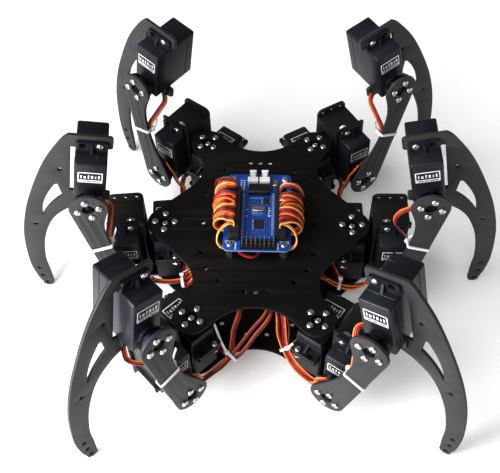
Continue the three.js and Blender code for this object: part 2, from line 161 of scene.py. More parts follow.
class Nodes:
    """Small helper round one material's node tree."""

    def __init__(self, name, **values):
        self.material = bpy.data.materials.new(name)
        self.material.use_nodes = True
        self.tree = self.material.node_tree
        self.shader = self.tree.nodes["Principled BSDF"]
        self.coords = self.tree.nodes.new("ShaderNodeTexCoord")
        for key, value in values.items():
            self.shader.inputs[key.replace("_", " ")].default_value = value

    def node(self, kind, source=None, socket="Vector", **inputs):
        """New node with these inputs, fed by the source."""
        n = self.tree.nodes.new(kind)
        for key, value in inputs.items():
            n.inputs[key.replace("_", " ")].default_value = value
        if source:
            self.tree.links.new(source, n.inputs[socket])
        return n

    def noise(self, scale, detail, source=None, roughness=0.55):
        return self.node("ShaderNodeTexNoise", source or self.coords.outputs["Object"], Scale=scale,
                         Detail=detail, Roughness=roughness).outputs["Fac"]

    def colour(self, fac, dark, light, low=0.3, high=0.75):
        """Base colour that runs from dark to light."""
        n = self.node("ShaderNodeValToRGB", fac, "Fac")
        for element, at, colour in zip(n.color_ramp.elements, (low, high), (dark, light)):
            element.position = at
            element.color = (*colour, 1)
        self.tree.links.new(n.outputs["Color"], self.shader.inputs["Base Color"])

    def rough(self, fac, low, high):
        n = self.node("ShaderNodeMapRange", fac, "Value", To_Min=low, To_Max=high)
        self.tree.links.new(n.outputs["Result"], self.shader.inputs["Roughness"])

    def bump(self, height, strength, distance):
        n = self.node("ShaderNodeBump", height, "Height", Strength=strength, Distance=distance)
        self.tree.links.new(n.outputs["Normal"], self.shader.inputs["Normal"])


def anodised(name, dark, light, metallic=0.35, rough=(0.38, 0.55), shine=0.45):
    """Black anodised sheet: cloudy colour and faint long scratches."""
    m = Nodes(name, Metallic=metallic, Specular_IOR_Level=shine)
    m.colour(m.noise(38, 4), dark, light)
    m.rough(m.noise(420, 3), *rough)
    stretch = m.node("ShaderNodeMapping", m.coords.outputs["Object"], Scale=(60, 900, 900))
    m.bump(m.noise(1.0, 4.0, stretch.outputs["Vector"], 0.6), 0.07, 0.00005)
    return m.material


def speckled(name, dark, light, rough, colour_noise, gloss_noise, grain, bump, **values):
    """Soft colour drift, uneven gloss and a fine surface grain."""
    m = Nodes(name, **values)
    m.colour(m.noise(*colour_noise), dark, light)
    m.rough(m.noise(*gloss_noise), *rough)
    m.bump(m.noise(grain, 2), *bump)
    return m.material


def metal(name, dark, light, rough=(0.18, 0.34)):
    return speckled(name, dark, light, rough, (300, 2), (700, 2), 1500, (0.1, 0.00003), Metallic=1.0)


def plastic(name, dark, light, rough=(0.35, 0.5), grain=1800, bump=0.08):
    return speckled(name, dark, light, rough, (140, 3), (400, 2), grain, (bump, 0.00003),
                    Metallic=0.0, Specular_IOR_Level=0.5)


SHEET_BLACK = anodised("black_anodised_sheet", (0.017, 0.0165, 0.0165), (0.030, 0.029, 0.028))
DECK_BLACK = anodised("black_deck_sheet", (0.0070, 0.0066, 0.0062), (0.0120, 0.0112, 0.0104), 0.0,
                      (0.42, 0.6), 0.22)
LEG_GREY = anodised("leg_sheet", (0.036, 0.036, 0.038), (0.054, 0.054, 0.056), 0.0, (0.36, 0.5), 0.22)
CASE_BLACK = speckled("servo_case_black", (0.013, 0.015, 0.020), (0.024, 0.027, 0.035), (0.22, 0.4),
                      (60, 3), (300, 3), 2200, (0.12, 0.00004), Metallic=0.0, Specular_IOR_Level=0.30)
HORN_METAL = metal("horn_metal", (0.012, 0.014, 0.024), (0.030, 0.035, 0.056), (0.22, 0.38))
SCREW_STEEL = metal("screw_steel", (0.55, 0.55, 0.56), (0.80, 0.80, 0.80))
NICKEL = metal("nickel_plate", (0.58, 0.56, 0.50), (0.80, 0.78, 0.72), (0.28, 0.44))
PIN_GOLD = metal("pin_gold", (0.62, 0.46, 0.18), (0.83, 0.65, 0.30))
LABEL_WHITE = plastic("label_white", (0.70, 0.71, 0.73), (0.86, 0.87, 0.88), (0.3, 0.42))
LABEL_DARK = plastic("label_dark", (0.010, 0.011, 0.014), (0.020, 0.022, 0.027), (0.25, 0.35))
TIE_WHITE = plastic("tie_white", (0.72, 0.73, 0.75), (0.88, 0.88, 0.88), (0.28, 0.4))
HEADER_BLACK = plastic("header_black", (0.010, 0.010, 0.011), (0.022, 0.022, 0.023))
PRINT_WHITE = plastic("print_white", (0.66, 0.68, 0.72), (0.82, 0.84, 0.86), (0.4, 0.5))
SOCKET_WHITE = plastic("socket_white", (0.68, 0.68, 0.66), (0.84, 0.84, 0.82), (0.3, 0.42))
CHIP_BLACK = plastic("chip_black", (0.016, 0.017, 0.018), (0.034, 0.035, 0.036), (0.4, 0.55))
WIRE = {
    "brown": plastic("wire_brown", (0.115, 0.022, 0.022), (0.20, 0.045, 0.042), (0.28, 0.42)),
    "red": plastic("wire_red", (0.46, 0.022, 0.024), (0.66, 0.050, 0.045), (0.26, 0.40)),
    "orange": plastic("wire_orange", (0.84, 0.20, 0.030), (0.95, 0.34, 0.075), (0.26, 0.40)),
    "yellow": plastic("wire_yellow", (0.88, 0.44, 0.08), (0.97, 0.60, 0.16), (0.26, 0.40)),
}

# ---- Mesh building ----------------------------------------------------------


def polish(mesh, angle=32):
    """Smooth faces, sharp edges above an angle, no doubled points."""
    bm = bmesh.new()
    bm.from_mesh(mesh)
    bmesh.ops.remove_doubles(bm, verts=bm.verts, dist=1e-7)
    bmesh.ops.dissolve_degenerate(bm, dist=1e-7, edges=bm.edges)
    limit = radians(angle)
    for face in bm.faces:
        face.smooth = True
    for edge in bm.edges:
        if len(edge.link_faces) == 2:
            edge.smooth = edge.calc_face_angle(0.0) < limit
        else:
            edge.smooth = False
    bm.to_mesh(mesh)
    bm.free()
    return mesh


def arc(cx, cy, r, a0, a1, n):
    """Points of an arc, both ends included, with angles in radians."""
    return [(cx + r * cos(a0 + (a1 - a0) * i / n), cy + r * sin(a0 + (a1 - a0) * i / n))
            for i in range(n + 1)]


def circle(cx, cy, r, n=20):
    return arc(cx, cy, r, 0, 2 * pi, n)[:-1]


def bezier(controls, n):
    """Points of a Bezier curve after its first, by de Casteljau's rule."""
    out = []
    for i in range(1, n + 1):
        points = controls
        while len(points) > 1:
            points = [tuple(a + (b - a) * i / n for a, b in zip(p, q))
                      for p, q in zip(points, points[1:])]
        out.append(points[0])
    return out


def catmull(points, n):
    """Smooth curve through points, n steps between neighbours; works in 2D and 3D."""
    points = [Vector(p) for p in points]
    out = []
    for i in range(len(points) - 1):
        p0 = points[max(i - 1, 0)]
        p1, p2 = points[i], points[i + 1]
        p3 = points[min(i + 2, len(points) - 1)]
        for k in range(n):
            t = k / n
            v0, v1 = (p2 - p0) * 0.5, (p3 - p1) * 0.5
            out.append((p1 * 2 - p2 * 2 + v0 + v1) * t ** 3
                       + (p2 * 3 - p1 * 3 - v0 * 2 - v1) * t ** 2 + v0 * t + p1)
    out.append(points[-1])
    return out


def cut_sheet(name, outline, holes, z0, z1, bevel=0.18):
    """Mesh of a cut plate with eased edges, in millimetres in, metres out."""
    curve = bpy.data.curves.new(name, "CURVE")
    curve.dimensions, curve.fill_mode = "2D", "BOTH"
    curve.extrude = ((z1 - z0) / 2 - bevel) * MM
    curve.bevel_depth, curve.bevel_resolution = bevel * MM, 1
    curve.offset = -bevel * MM
    for i, loop in enumerate([outline] + list(holes)):
        loop = [tuple(p) for p in loop]
        twice_area = sum(a[0] * b[1] - b[0] * a[1] for a, b in zip(loop, loop[1:] + loop[:1]))
        if (twice_area > 0) != (i == 0):
            loop.reverse()
        spline = curve.splines.new("POLY")
        spline.points.add(len(loop) - 1)
        for point, (x, y) in zip(spline.points, loop):
            point.co = (x * MM, y * MM, 0, 1)
        spline.use_cyclic_u = True
    mesh = evaluated(linked(name, curve), name)
    bpy.data.curves.remove(curve)
    mesh.transform(Matrix.Translation((0, 0, (z0 + z1) / 2 * MM)))
    return polish(mesh)


def evaluated(temp, name):
    """Mesh of a temporary object, which is then removed."""
    mesh = bpy.data.meshes.new_from_object(temp.evaluated_get(bpy.context.evaluated_depsgraph_get()))
    bpy.data.objects.remove(temp)
    mesh.name = name
    mesh.materials.clear()
    return mesh


def rounded_rectangle(x0, x1, y0, y1, r, n=4):
    """Corner-rounded loop, counter-clockwise."""
    loop = []
    for cx, cy, a in ((x1 - r, y1 - r, 0), (x0 + r, y1 - r, 90), (x0 + r, y0 + r, 180),
                      (x1 - r, y0 + r, 270)):
        loop += arc(cx, cy, r, radians(a), radians(a + 90), n)
    return loop


def loft(bm, rings):
    """Closed skin through rings of equal length, each a list of (x, y, z) in millimetres."""
    made = [[bm.verts.new(Vector(p) * MM) for p in ring] for ring in rings]
    for a, b in zip(made, made[1:]):
        for i in range(len(a)):
            j = (i + 1) % len(a)
            bm.faces.new((a[i], a[j], b[j], b[i]))
    bm.faces.new(list(reversed(made[0])))
    bm.faces.new(made[-1])


def tower(bm, x0, x1, y0, y1, r, profile):
    """Rounded box whose sides step in and out: profile is a list of (z, inset)."""
    rings = []
    for z, i in profile:
        loop = rounded_rectangle(x0 + i, x1 - i, y0 + i, y1 - i, max(r - i * 0.6, 0.15))
        rings.append([(x, y, z) for x, y in loop])
    loft(bm, rings)


def turned(bm, profile, n=24, at=(0, 0)):
    """Turned shape about Z: profile is a list of (radius, z), starting and ending solid."""
    loft(bm, [[(x, y, z) for x, y in circle(at[0], at[1], r, n)] for r, z in profile])


def finished(name, bm, materials=()):
    """Mesh of what was built in bm, which is freed."""
    mesh = bpy.data.meshes.new(name)
    bm.to_mesh(mesh)
    bm.free()
    for material in materials:
        mesh.materials.append(material)
    return mesh


def as_mesh(name, build, angle=32):
    bm = bmesh.new()
    build(bm)
    bmesh.ops.recalc_face_normals(bm, faces=bm.faces)
    return polish(finished(name, bm), angle)


def carved(name, base, cutter, angle=32):
    """The base mesh with the cutter taken away."""
    a, b = linked("boolean_a", base), linked("boolean_b", cutter)
    modifier = a.modifiers.new("boolean", "BOOLEAN")
    modifier.operation, modifier.object, modifier.solver = "DIFFERENCE", b, "EXACT"
    mesh = evaluated(a, name)
    bpy.data.objects.remove(b)
    return polish(mesh, angle)


def joined(name, parts):
    """One mesh of (mesh, matrix, material) parts; with no material a part keeps its own."""
    bm = bmesh.new()
    materials = []
    for mesh, matrix, material in parts:
        own = [material] if material else list(mesh.materials)
        for m in own:
            if m not in materials:
                materials.append(m)
        first_face, first_vert = len(bm.faces), len(bm.verts)
        bm.from_mesh(mesh)
        bm.verts.ensure_lookup_table()
        bm.faces.ensure_lookup_table()
        bmesh.ops.transform(bm, matrix=matrix, verts=bm.verts[first_vert:])
        for face in bm.faces[first_face:]:
            face.material_index = materials.index(own[min(face.material_index, len(own) - 1)])
    return finished(name, bm, materials)


def painted(mesh, material):
    mesh.materials.clear()
    mesh.materials.append(material)
    return mesh


def put(name, mesh, matrix, body, slot=None, replaces=()):
    """Places a mesh in the row frame and gives it its body."""
    o = linked(name, mesh)
    o.matrix_world = matrix
    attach(o, body)
    if replaces:
        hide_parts(*replaces)


def axes(x, y, z, origin):
    """Matrix with these columns at origin, in metres."""
    m = Matrix((x, y, z)).transposed().to_4x4()
    m.translation = origin
    return m


def shift(x, y, z, turn=0.0):
    """Move in millimetres, after a turn about Z in radians."""
    return Matrix.Translation((x * MM, y * MM, z * MM)) @ Matrix.Rotation(turn, 4, "Z")


def in_mm(frame_matrix, x, y, z):
    """Row-frame millimetres of a point in a frame's own millimetres."""
    return (frame_matrix @ (Vector((x, y, z)) * MM)) / MM


def ring_spots(x, y, r, turn, n=4):
    """Centres of n holes on a circle; turn is in degrees."""
    return [(x + r * cos(radians(turn) + 2 * pi * i / n),
             y + r * sin(radians(turn) + 2 * pi * i / n)) for i in range(n)]


# ---- Shared masters: screws, servo, horn ------------------------------------


def pan_head(name, radius, height):
    """Pan-head screw top with a crossed recess, standing on z = 0."""
    profile = [(radius * 0.96, 0)] + [
        (radius * cos(a), height * (0.35 + 0.65 * sin(a))) for a in (0, 0.35, 0.7, 1.0, 1.25)]
    head = as_mesh(name, lambda bm: turned(bm, profile, 20), 50)
    thin, long = radius * 0.13, radius * 0.55
    for half_x, half_y in ((thin, long), (long, thin)):
        bar = as_mesh("bar", lambda bm: tower(bm, -half_x, half_x, -half_y, half_y, 0.05,
                                              [(height * 0.45, 0.12), (height + 0.5, 0)]))
        head = carved(name, head, bar, 50)
    return head


SCREW = pan_head("pan_screw", 2.4, 1.6)
SCREW_SMALL = pan_head("small_screw", 1.7, 1.1)


def socket_screw(name, radius, height):
    """Cap screw with a hexagon socket, standing on z = 0."""
    head = as_mesh(name, lambda bm: turned(
        bm, [(radius, 0), (radius, height - 0.3), (radius - 0.3, height)], 20), 50)
    hexagon = as_mesh("hexagon", lambda bm: turned(
        bm, [(radius * 0.5, height * 0.35), (radius * 0.5, height + 1)], 6))
    return carved(name, head, hexagon, 50)


CAP_SCREW = socket_screw("cap_screw", 2.2, 1.9)


def servo_case():
    """Case in three mouldings with shadow seams, ears with ribs and holes, and the boss."""
    y = CASE_HALF
    case = as_mesh("case", lambda bm: tower(bm, -CASE_NEAR, CASE_FAR, -y, y, 1.4, [
        (-CASE_REAR, 1.0), (-CASE_REAR + 0.35, 0.35), (-CASE_REAR + 0.9, 0.0),
        (-17.9, 0.0), (-17.7, 0.3), (-17.4, 0.3), (-17.2, 0.0),
        (5.9, 0.0), (6.1, 0.3), (6.4, 0.3), (6.6, 0.0),
        (CASE_FRONT - 0.9, 0.0), (CASE_FRONT - 0.35, 0.3), (CASE_FRONT, 0.9)]))
    corners = [(x, sy * (y - 2.6)) for x in (-CASE_NEAR + 2.6, CASE_FAR - 2.6) for sy in BOTH]
    corner_holes = as_mesh("corner_holes", lambda bm: [
        turned(bm, [(1.7, -CASE_REAR - 1), (1.7, -CASE_REAR + 1.6)], 16, spot) for spot in corners])
    case = carved("case", case, corner_holes)

    holes = [circle(x, sy * 5, 2.1, 16)
             for x in (-CASE_NEAR - EAR_HOLE_IN, CASE_FAR + EAR_HOLE_IN) for sy in BOTH]
    ear_outline = rounded_rectangle(-CASE_NEAR - EAR_OUT, CASE_FAR + EAR_OUT, -y + 0.25, y - 0.25, 1.6)
    ears = cut_sheet("ears", ear_outline, holes, 0, EAR_T, 0.25)

    def ribs(bm):
        """A gusset over each ear's middle, falling outwards."""
        for end, hand in ((-CASE_NEAR, -1), (CASE_FAR, 1)):
            inside, out = end - hand * 0.5, end + hand * 5.2
            loft(bm, [[(inside, w, EAR_T - 0.2), (out, w, EAR_T - 0.2), (out, w, EAR_T + 0.5),
                       (inside, w, EAR_T + 3.2)] for w in (-0.8, 0.8)])

    boss = as_mesh("boss", lambda bm: turned(bm, [
        (BOSS_R + 0.9, CASE_FRONT - 0.8), (BOSS_R + 0.9, CASE_FRONT + 0.25),
        (BOSS_R + 0.6, CASE_FRONT + 0.45), (BOSS_R, CASE_FRONT + 0.5),
        (BOSS_R, CASE_FRONT + BOSS_H - 0.35), (BOSS_R - 0.35, CASE_FRONT + BOSS_H),
        (4.2, CASE_FRONT + BOSS_H), (4.0, CASE_FRONT + BOSS_H - 0.4)], 32))
    parts = [(mesh, I4, CASE_BLACK) for mesh in (case, ears, as_mesh("ribs", ribs), boss)]
    parts += [(SCREW_SMALL, shift(cx, cy, -CASE_REAR + 1.5) @ FLIP, SCREW_STEEL) for cx, cy in corners]
    return joined("servo", parts)


def servo_label():
    """White label on the output face: a dark field and a light strip, with bars in place of words."""
    parts = []

    def patch(x0, x1, y0, y1, r, height, material):
        loop = rounded_rectangle(x0, x1, y0, y1, r, 2)
        mesh = cut_sheet("label", loop, [], CASE_FRONT - 0.1, CASE_FRONT + height, 0.02)
        parts.append((mesh, I4, material))

    patch(13.7, 22.9, -7.6, 7.6, 0.5, 0.10, LABEL_WHITE)
    patch(16.3, 22.2, -6.9, 6.9, 0.3, 0.13, LABEL_DARK)
    at = -5.9
    for width, tall in ((1.1, 3.0), (0.8, 2.3), (1.4, 2.7), (0.9, 3.1), (1.5, 2.2), (0.8, 2.8)):
        patch(17.5, 17.5 + tall, at, at + width, 0.12, 0.16, LABEL_WHITE)
        at += width + 1.05
    for y0, y1 in ((-6.0, -1.4), (-0.6, 2.0), (2.8, 5.9)):
        patch(14.6, 15.3, y0, y1, 0.1, 0.13, LABEL_DARK)
    return joined("servo_label", parts)


RELIEF_Z = -9.0


def strain_relief():
    """Rubber exit of the servo lead at the shaft end of the case."""
    rings = [[(x - CASE_NEAR, a, RELIEF_Z + b)
              for a, b in rounded_rectangle(-half_y, half_y, -half_z, half_z, 0.6, 3)]
             for x, half_y, half_z in ((0.5, 2.7, 1.5), (-1.2, 2.5, 1.4), (-2.3, 2.2, 1.0))]
    return as_mesh("strain_relief", lambda bm: loft(bm, rings))


SERVO = servo_case()
LABEL = servo_label()
RELIEF = strain_relief()
HORN_Z = CASE_FRONT + BOSS_H + GAP
DISC_Z = HORN_Z + 2.6


def horn():
    """Metal disc horn on a splined hub, up to just under a plate; z from the ears' rear face."""
    holes = [circle(x, y, 0.9, 10) for x, y in ring_spots(0, 0, HORN_PCD_R, 45)]
    disc = cut_sheet("horn_disc", circle(0, 0, HORN_R, 40), holes, DISC_Z, STACK - SHEET - 0.02, 0.3)
    hub = as_mesh("horn_hub", lambda bm: turned(bm, [
        (4.2, HORN_Z), (4.5, HORN_Z + 0.3), (4.5, DISC_Z + 0.3)], 28))
    return joined("horn", [(disc, I4, HORN_METAL), (hub, I4, HORN_METAL)])


# ---- Decks --------------------------------------------------------------------
CORNER_ARM, MIDDLE_ARM = (41.0, 78.0), (66.0, 0.0)
ARM_TURN = {"front_left": 60, "middle_left": 0, "back_left": 41,
            "front_right": 41, "middle_right": 0, "back_right": 60}


def edge_between(end, hollow, hand):
    """Angles of the straight edge that touches an arm's round end and a hollow."""
    dx, dy = hollow[0] - end[0], hollow[1] - end[1]
    toward = atan2(dy, dx)
    opened = acos((ARM_END_R + hollow[2]) / hypot(dx, dy))
    return toward + hand * opened, toward + pi + hand * opened


def deck_outline():
    """Arm ends and hollows in turn, counter-clockwise from the right middle arm."""
    (cx, cy), (mx, _) = CORNER_ARM, MIDDLE_ARM
    ends = [(mx, 0), (cx, cy), (-cx, cy), (-mx, 0), (-cx, -cy), (cx, -cy)]
    sx, sy, sr = SIDE_NOTCH
    hollows = [(sx, sy, sr), (0, END_NOTCH_Y, END_NOTCH_R), (-sx, sy, sr),
               (-sx, -sy, sr), (0, -END_NOTCH_Y, END_NOTCH_R), (sx, -sy, sr)]
    whole = 2 * pi
    loop = []
    for i, end in enumerate(ends):
        a0 = edge_between(end, hollows[i - 1], 1)[0]
        a1, h0 = edge_between(end, hollows[i], -1)
        h1 = edge_between(ends[(i + 1) % 6], hollows[i], 1)[1]
        while a1 < a0:
            a1 += whole
        while h1 > h0:
            h1 -= whole
        if h0 - h1 > whole:
            h1 += whole
        loop += arc(*end, ARM_END_R, a0, a1, 24)
        loop += arc(*hollows[i], h0, h1, 24)
    return loop


def deck_holes():
    spots = [(38.5, 0), (38.5, 25.8), (33.6, 39.8), (25.4, 49.3), (7.3, 57.7), (0, 57.7)]
    return sorted({(sx * x + 0.0, sy * y + 0.0) for x, y in spots for sx in BOTH for sy in BOTH})


COLUMNS = {f"{row}_{side}": (sx * COLUMN_X, BOARD_MID + sy * COLUMN_Y)
           for row, sy in (("front", -1), ("back", 1)) for side, sx in (("left", -1), ("right", 1))}


def arm_of(name):
    sx = -1 if name.endswith("left") else 1
    if name.startswith("middle"):
        return sx * MIDDLE_ARM[0], 0.0
    return sx * CORNER_ARM[0], CORNER_ARM[1] * (-1 if name.startswith("front") else 1)


def make_decks():
    shared = [circle(x, y, 1.7, 20) for x, y in deck_holes()]
    shared += [circle(x, y, 1.6, 16) for x, y in COLUMNS.values()]
    top_holes, bottom_holes = list(shared), list(shared)
    for name in LEG_NAMES:
        x, y = arm_of(name)
        top_holes.append(circle(x, y, 4, 32))
        top_holes += [circle(hx, hy, 1.6, 14) for hx, hy in ring_spots(x, y, HORN_PCD_R, ARM_TURN[name])]
        bottom_holes.append(circle(x, y, 3.7, 28))
    for word, holes, z in (("top", top_holes, TOP_Z - SHEET), ("bottom", bottom_holes, BELLY_Z)):
        plate = cut_sheet(f"{word}_plate_mesh", deck_outline(), holes, z, z + SHEET, 0.25)
        put(f"{word}_deck", painted(plate, DECK_BLACK), DECK, "chassis", "black_sheet", [f"{word}_plate"])


make_decks()


def hex_column(bm, z0, z1, x, y):
    turned(bm, [(2.7, z0), (3.0, z0 + 0.3), (3.0, z1 - 0.3), (2.7, z1)], 6, (x, y))


for spot, (cx, cy) in COLUMNS.items():
    mesh = as_mesh("column", lambda bm: (
        hex_column(bm, BELLY_Z + SHEET + 0.05, TOP_Z - SHEET - 0.05, cx, cy),
        hex_column(bm, TOP_Z + 0.05, BOARD_Z - 0.05, cx, cy)), 20)
    screw_top = shift(cx, cy, BOARD_Z + BOARD_T + 0.02, 0.7 * cx)
    parts = [(mesh, I4, NICKEL), (SCREW, screw_top, SCREW_STEEL),
             (CAP_SCREW, shift(cx, cy, BELLY_Z) @ FLIP, SCREW_STEEL)]
    put(f"column_{spot}", joined("column", parts), DECK, "chassis", "standoff_metal",
        [f"deck_column_{spot}"])


# ---- Legs -----------------------------------------------------------------------
NUT = as_mesh("nut", lambda bm: turned(bm, [(2.9, 0), (3.2, 0.3), (3.2, 2.1), (2.9, 2.4)], 6), 20)
HORN = horn()
DARK_SCREW = pan_head("dark_screw", 2.6, 1.4)


class Leg:
    """Frames of one leg at rest, from the joints; the servos' output side is n."""

    def __init__(self, name):
        self.name = name
        self.side = -1 if name.endswith("left") else 1
        yaw, lift, knee = [Vector(JOINTS[f"{word}_{name}"]["pos_m"]) for word in ("yaw", "lift", "knee")]
        self.knee = knee
        self.out = UP.cross(Vector(JOINTS[f"lift_{name}"]["axis"])).normalized()
        along = UP.cross(self.out)
        self.n = along * -self.side
        base = Vector((yaw.x, yaw.y, 0))
        # Drawing planes: (outward, up) and (to the knee, inboard), with w along n
        self.hip = axes(self.out, UP, -along, base)
        femur_x = (knee - lift).normalized()
        self.femur = axes(femur_x, femur_x.cross(along), -along, lift)
        reach = hypot(TIP_X, TIP_Z)
        dip = asin((knee.z / MM - TIP_R) / reach) - atan2(-TIP_Z, TIP_X)
        tibia_x = self.out * cos(dip) - UP * sin(dip)
        self.tibia = axes(tibia_x, tibia_x.cross(along), -along, knee)
        lean = self.tibia.to_3x3() @ Vector((-sin(KNEE_LEAN), cos(KNEE_LEAN), 0))
        self.yaw_servo = self.servo_frame(-self.n, UP, base, TOP_Z - STACK)
        self.lift_servo = self.servo_frame(UP, self.n, lift, EARS_AT)
        self.knee_servo = self.servo_frame(lean, self.n, knee, EARS_AT)

    def servo_frame(self, x, z, centre, ears):
        return axes(x, z.cross(x), z, centre + z * ears * MM)

    def hip_at(self, outward, up, w):
        return in_mm(self.hip, outward, up, self.side * w)

    def femur_at(self, x, inboard, w):
        return in_mm(self.femur, x, inboard, self.side * w)


LEGS = [Leg(name) for name in LEG_NAMES]


def folded(points, radius, u0, u1):
    """Bent strip of sheet: a centre line with rounded bends, spanning u0 to u1."""
    half, steps = SHEET / 2, 5
    points = [Vector(p) for p in points]
    left, right = [], []
    for i, p in enumerate(points):
        if i in (0, len(points) - 1):
            d = (points[1] - p if i == 0 else p - points[-2]).normalized()
            side = Vector((-d.y, d.x))
            left.append(p + side * half)
            right.append(p - side * half)
            continue
        d0, d1 = (p - points[i - 1]).normalized(), (points[i + 1] - p).normalized()
        turn = atan2(d0.x * d1.y - d0.y * d1.x, d0.dot(d1))
        hand = 1 if turn > 0 else -1
        start = p - d0 * radius * tan(abs(turn) / 2)
        centre = start + Vector((-d0.y, d0.x)) * hand * radius
        a0 = atan2(start.y - centre.y, start.x - centre.x)
        for k in range(steps + 1):
            a = a0 + turn * k / steps
            ray = Vector((cos(a), sin(a)))
            left.append(centre + ray * (radius - hand * half))
            right.append(centre + ray * (radius + hand * half))
    return cut_sheet("folded", left + right[::-1], [], u0, u1, 0.2)


def bracket_mesh(side):
    """Hip bracket in (outward, up, side * w), in the same places as in the CAD part."""
    ears = TOP_Z - STACK
    base = ears - CASE_REAR - GAP
    near, far = CASE_NEAR + GAP, -CASE_FAR - GAP
    wall0 = HIP_OUT - CASE_HALF - GAP - 2.7
    back, front = EARS_AT - CASE_REAR - GAP, EARS_AT - GAP
    top, low = HIP_Z + CASE_FAR + GAP, HIP_Z - CASE_NEAR - GAP
    outer = HIP_OUT + CASE_HALF + 2
    # Planes: (w, up) seen along the outward direction, and (outward, w) seen from above
    across = Matrix(((0, 0, 1, 0), (0, 1, 0, 0), (side, 0, 0, 0), (0, 0, 0, 1)))
    level = Matrix(((1, 0, 0, 0), (0, 0, 1, 0), (0, side, 0, 0), (0, 0, 0, 1)))
    mid = ears - GAP - 1
    cradle = folded([(near + 6.9, mid), (near + 1, mid), (near + 1, base - 1), (far - 1, base - 1),
                     (far - 1, mid), (far - 6.9, mid)], 2.0, -8, 10)
    floor_loop = rounded_rectangle(-9.9, wall0 + 1.6, far + 0.5, near - 0.5, 1.5)
    floor_plate = cut_sheet("cradle_floor", floor_loop, [circle(0, -18, 5, 24)], base - 1.96, base - 0.04,
                            0.15)
    upper, lower = [folded([(front - 1, end + 6.1 * hand), (front - 1, end), (back - 0.8, end)], 1.9,
                           wall0 + 0.02, outer) for end, hand in ((top + 1, 1), (low - 1, -1))]
    wall_loop = rounded_rectangle(back - 1.98, front - 0.02, base - 1.9, top + 1.9, 0.8, 2)
    wall = cut_sheet("bracket_wall", wall_loop, [
        rounded_rectangle(-13, -0.5, low + 7, top - 5, 4, 5)], wall0, wall0 + 2, 0.2)
    r = 4
    plate_loop = [(wall0 + 0.02, base - 1.9), (outer, base - 1.9)]
    plate_loop += arc(outer - r, top + 8 - r, r, 0, pi / 2, 6)
    plate_loop += arc(wall0 + r, top + 8 - r, r, pi / 2, pi, 6)
    small = ring_spots(HIP_OUT, HIP_Z, 7, 45)
    small += [(u, top + 4.4) for u in (wall0 + 4.5, HIP_OUT - 0.5, outer - 4.5)]
    small += [(u, HIP_Z + 20) for u in (HIP_OUT - 6, HIP_OUT + 6)]
    holes = [circle(x, y, 1.5, 14) for x, y in small] + [circle(HIP_OUT, HIP_Z, 3.5, 24)]
    z0, z1 = sorted((side * (back - 2), side * back))
    back_plate = cut_sheet("bracket_back", plate_loop, holes, z0, z1, 0.22)
    parts = [(mesh, across, SHEET_BLACK) for mesh in (cradle, upper, lower, wall)]
    parts += [(floor_plate, level, SHEET_BLACK), (back_plate, I4, SHEET_BLACK)]
    # Pivot foot that turns in the bottom deck, with its washer, and two screws through the back
    deck_top = BELLY_Z + SHEET + GAP
    foot = as_mesh("pivot", lambda bm: turned(bm, [
        (2.9, 0.8), (3.35, 1.2), (3.35, deck_top), (6.0, deck_top), (6.0, base - 2.4),
        (4.6, base - 1.9)], 28))
    parts.append((foot, Matrix.Rotation(-pi / 2, 4, "X"), NICKEL))
    for u in (wall0 + 4.5, outer - 4.5):
        parts.append((SCREW_SMALL, shift(u, top + 4.4, side * back) @ turned_out(side), SCREW_STEEL))
    return joined("hip_bracket", parts)


def turned_out(side):
    """Turns a piece that stands on +Z towards the output side of a left or right leg."""
    return I4 if side > 0 else FLIP


BRACKET = {side: bracket_mesh(side) for side in BOTH}


def femur_mesh(side):
    """Femur plate, drawn from the lift axis to the knee axis, with its heads and horns."""
    r = FEMUR_END_R
    a = 0.42 * pi
    loop = arc(0, 0, r, a, 1.5 * pi, 30) + arc(FEMUR, 0, r, 1.5 * pi, 2.62 * pi, 30)
    low = (FEMUR - 36, FEMUR_WAIST)
    loop += bezier([loop[-1], (FEMUR - 16, 4), (FEMUR - 22, FEMUR_WAIST), low], 14)
    loop += bezier([low, (FEMUR - 52, FEMUR_WAIST), (20, 7), (r * cos(a), r * sin(a))], 18)[:-1]
    holes = [circle(x, 0, 4, 32) for x in (0, FEMUR)]
    for x in (0, FEMUR):
        holes += [circle(hx, hy, 1.5, 12) for hx, hy in ring_spots(x, 0, HORN_PCD_R, 0)]
    z0, z1 = sorted((side * (PLATE_OUT - SHEET), side * PLATE_OUT))
    parts = [(cut_sheet("femur_plate", loop, holes, z0, z1, 0.25), I4, LEG_GREY)]
    out = turned_out(side)
    for x in (0, FEMUR):
        parts.append((HORN, shift(x, 0, side * EARS_AT) @ out, HORN_METAL))
        parts.append((DARK_SCREW, shift(x, 0, side * (PLATE_OUT - SHEET)) @ out, HORN_METAL))
        for k, (hx, hy) in enumerate(ring_spots(x, 0, HORN_PCD_R, 0)):
            place = shift(hx, hy, side * PLATE_OUT) @ out @ shift(0, 0, 0, 0.5 + 1.3 * k + x * 0.11)
            parts.append((SCREW, place, SCREW_STEEL))
    return joined("femur", parts)


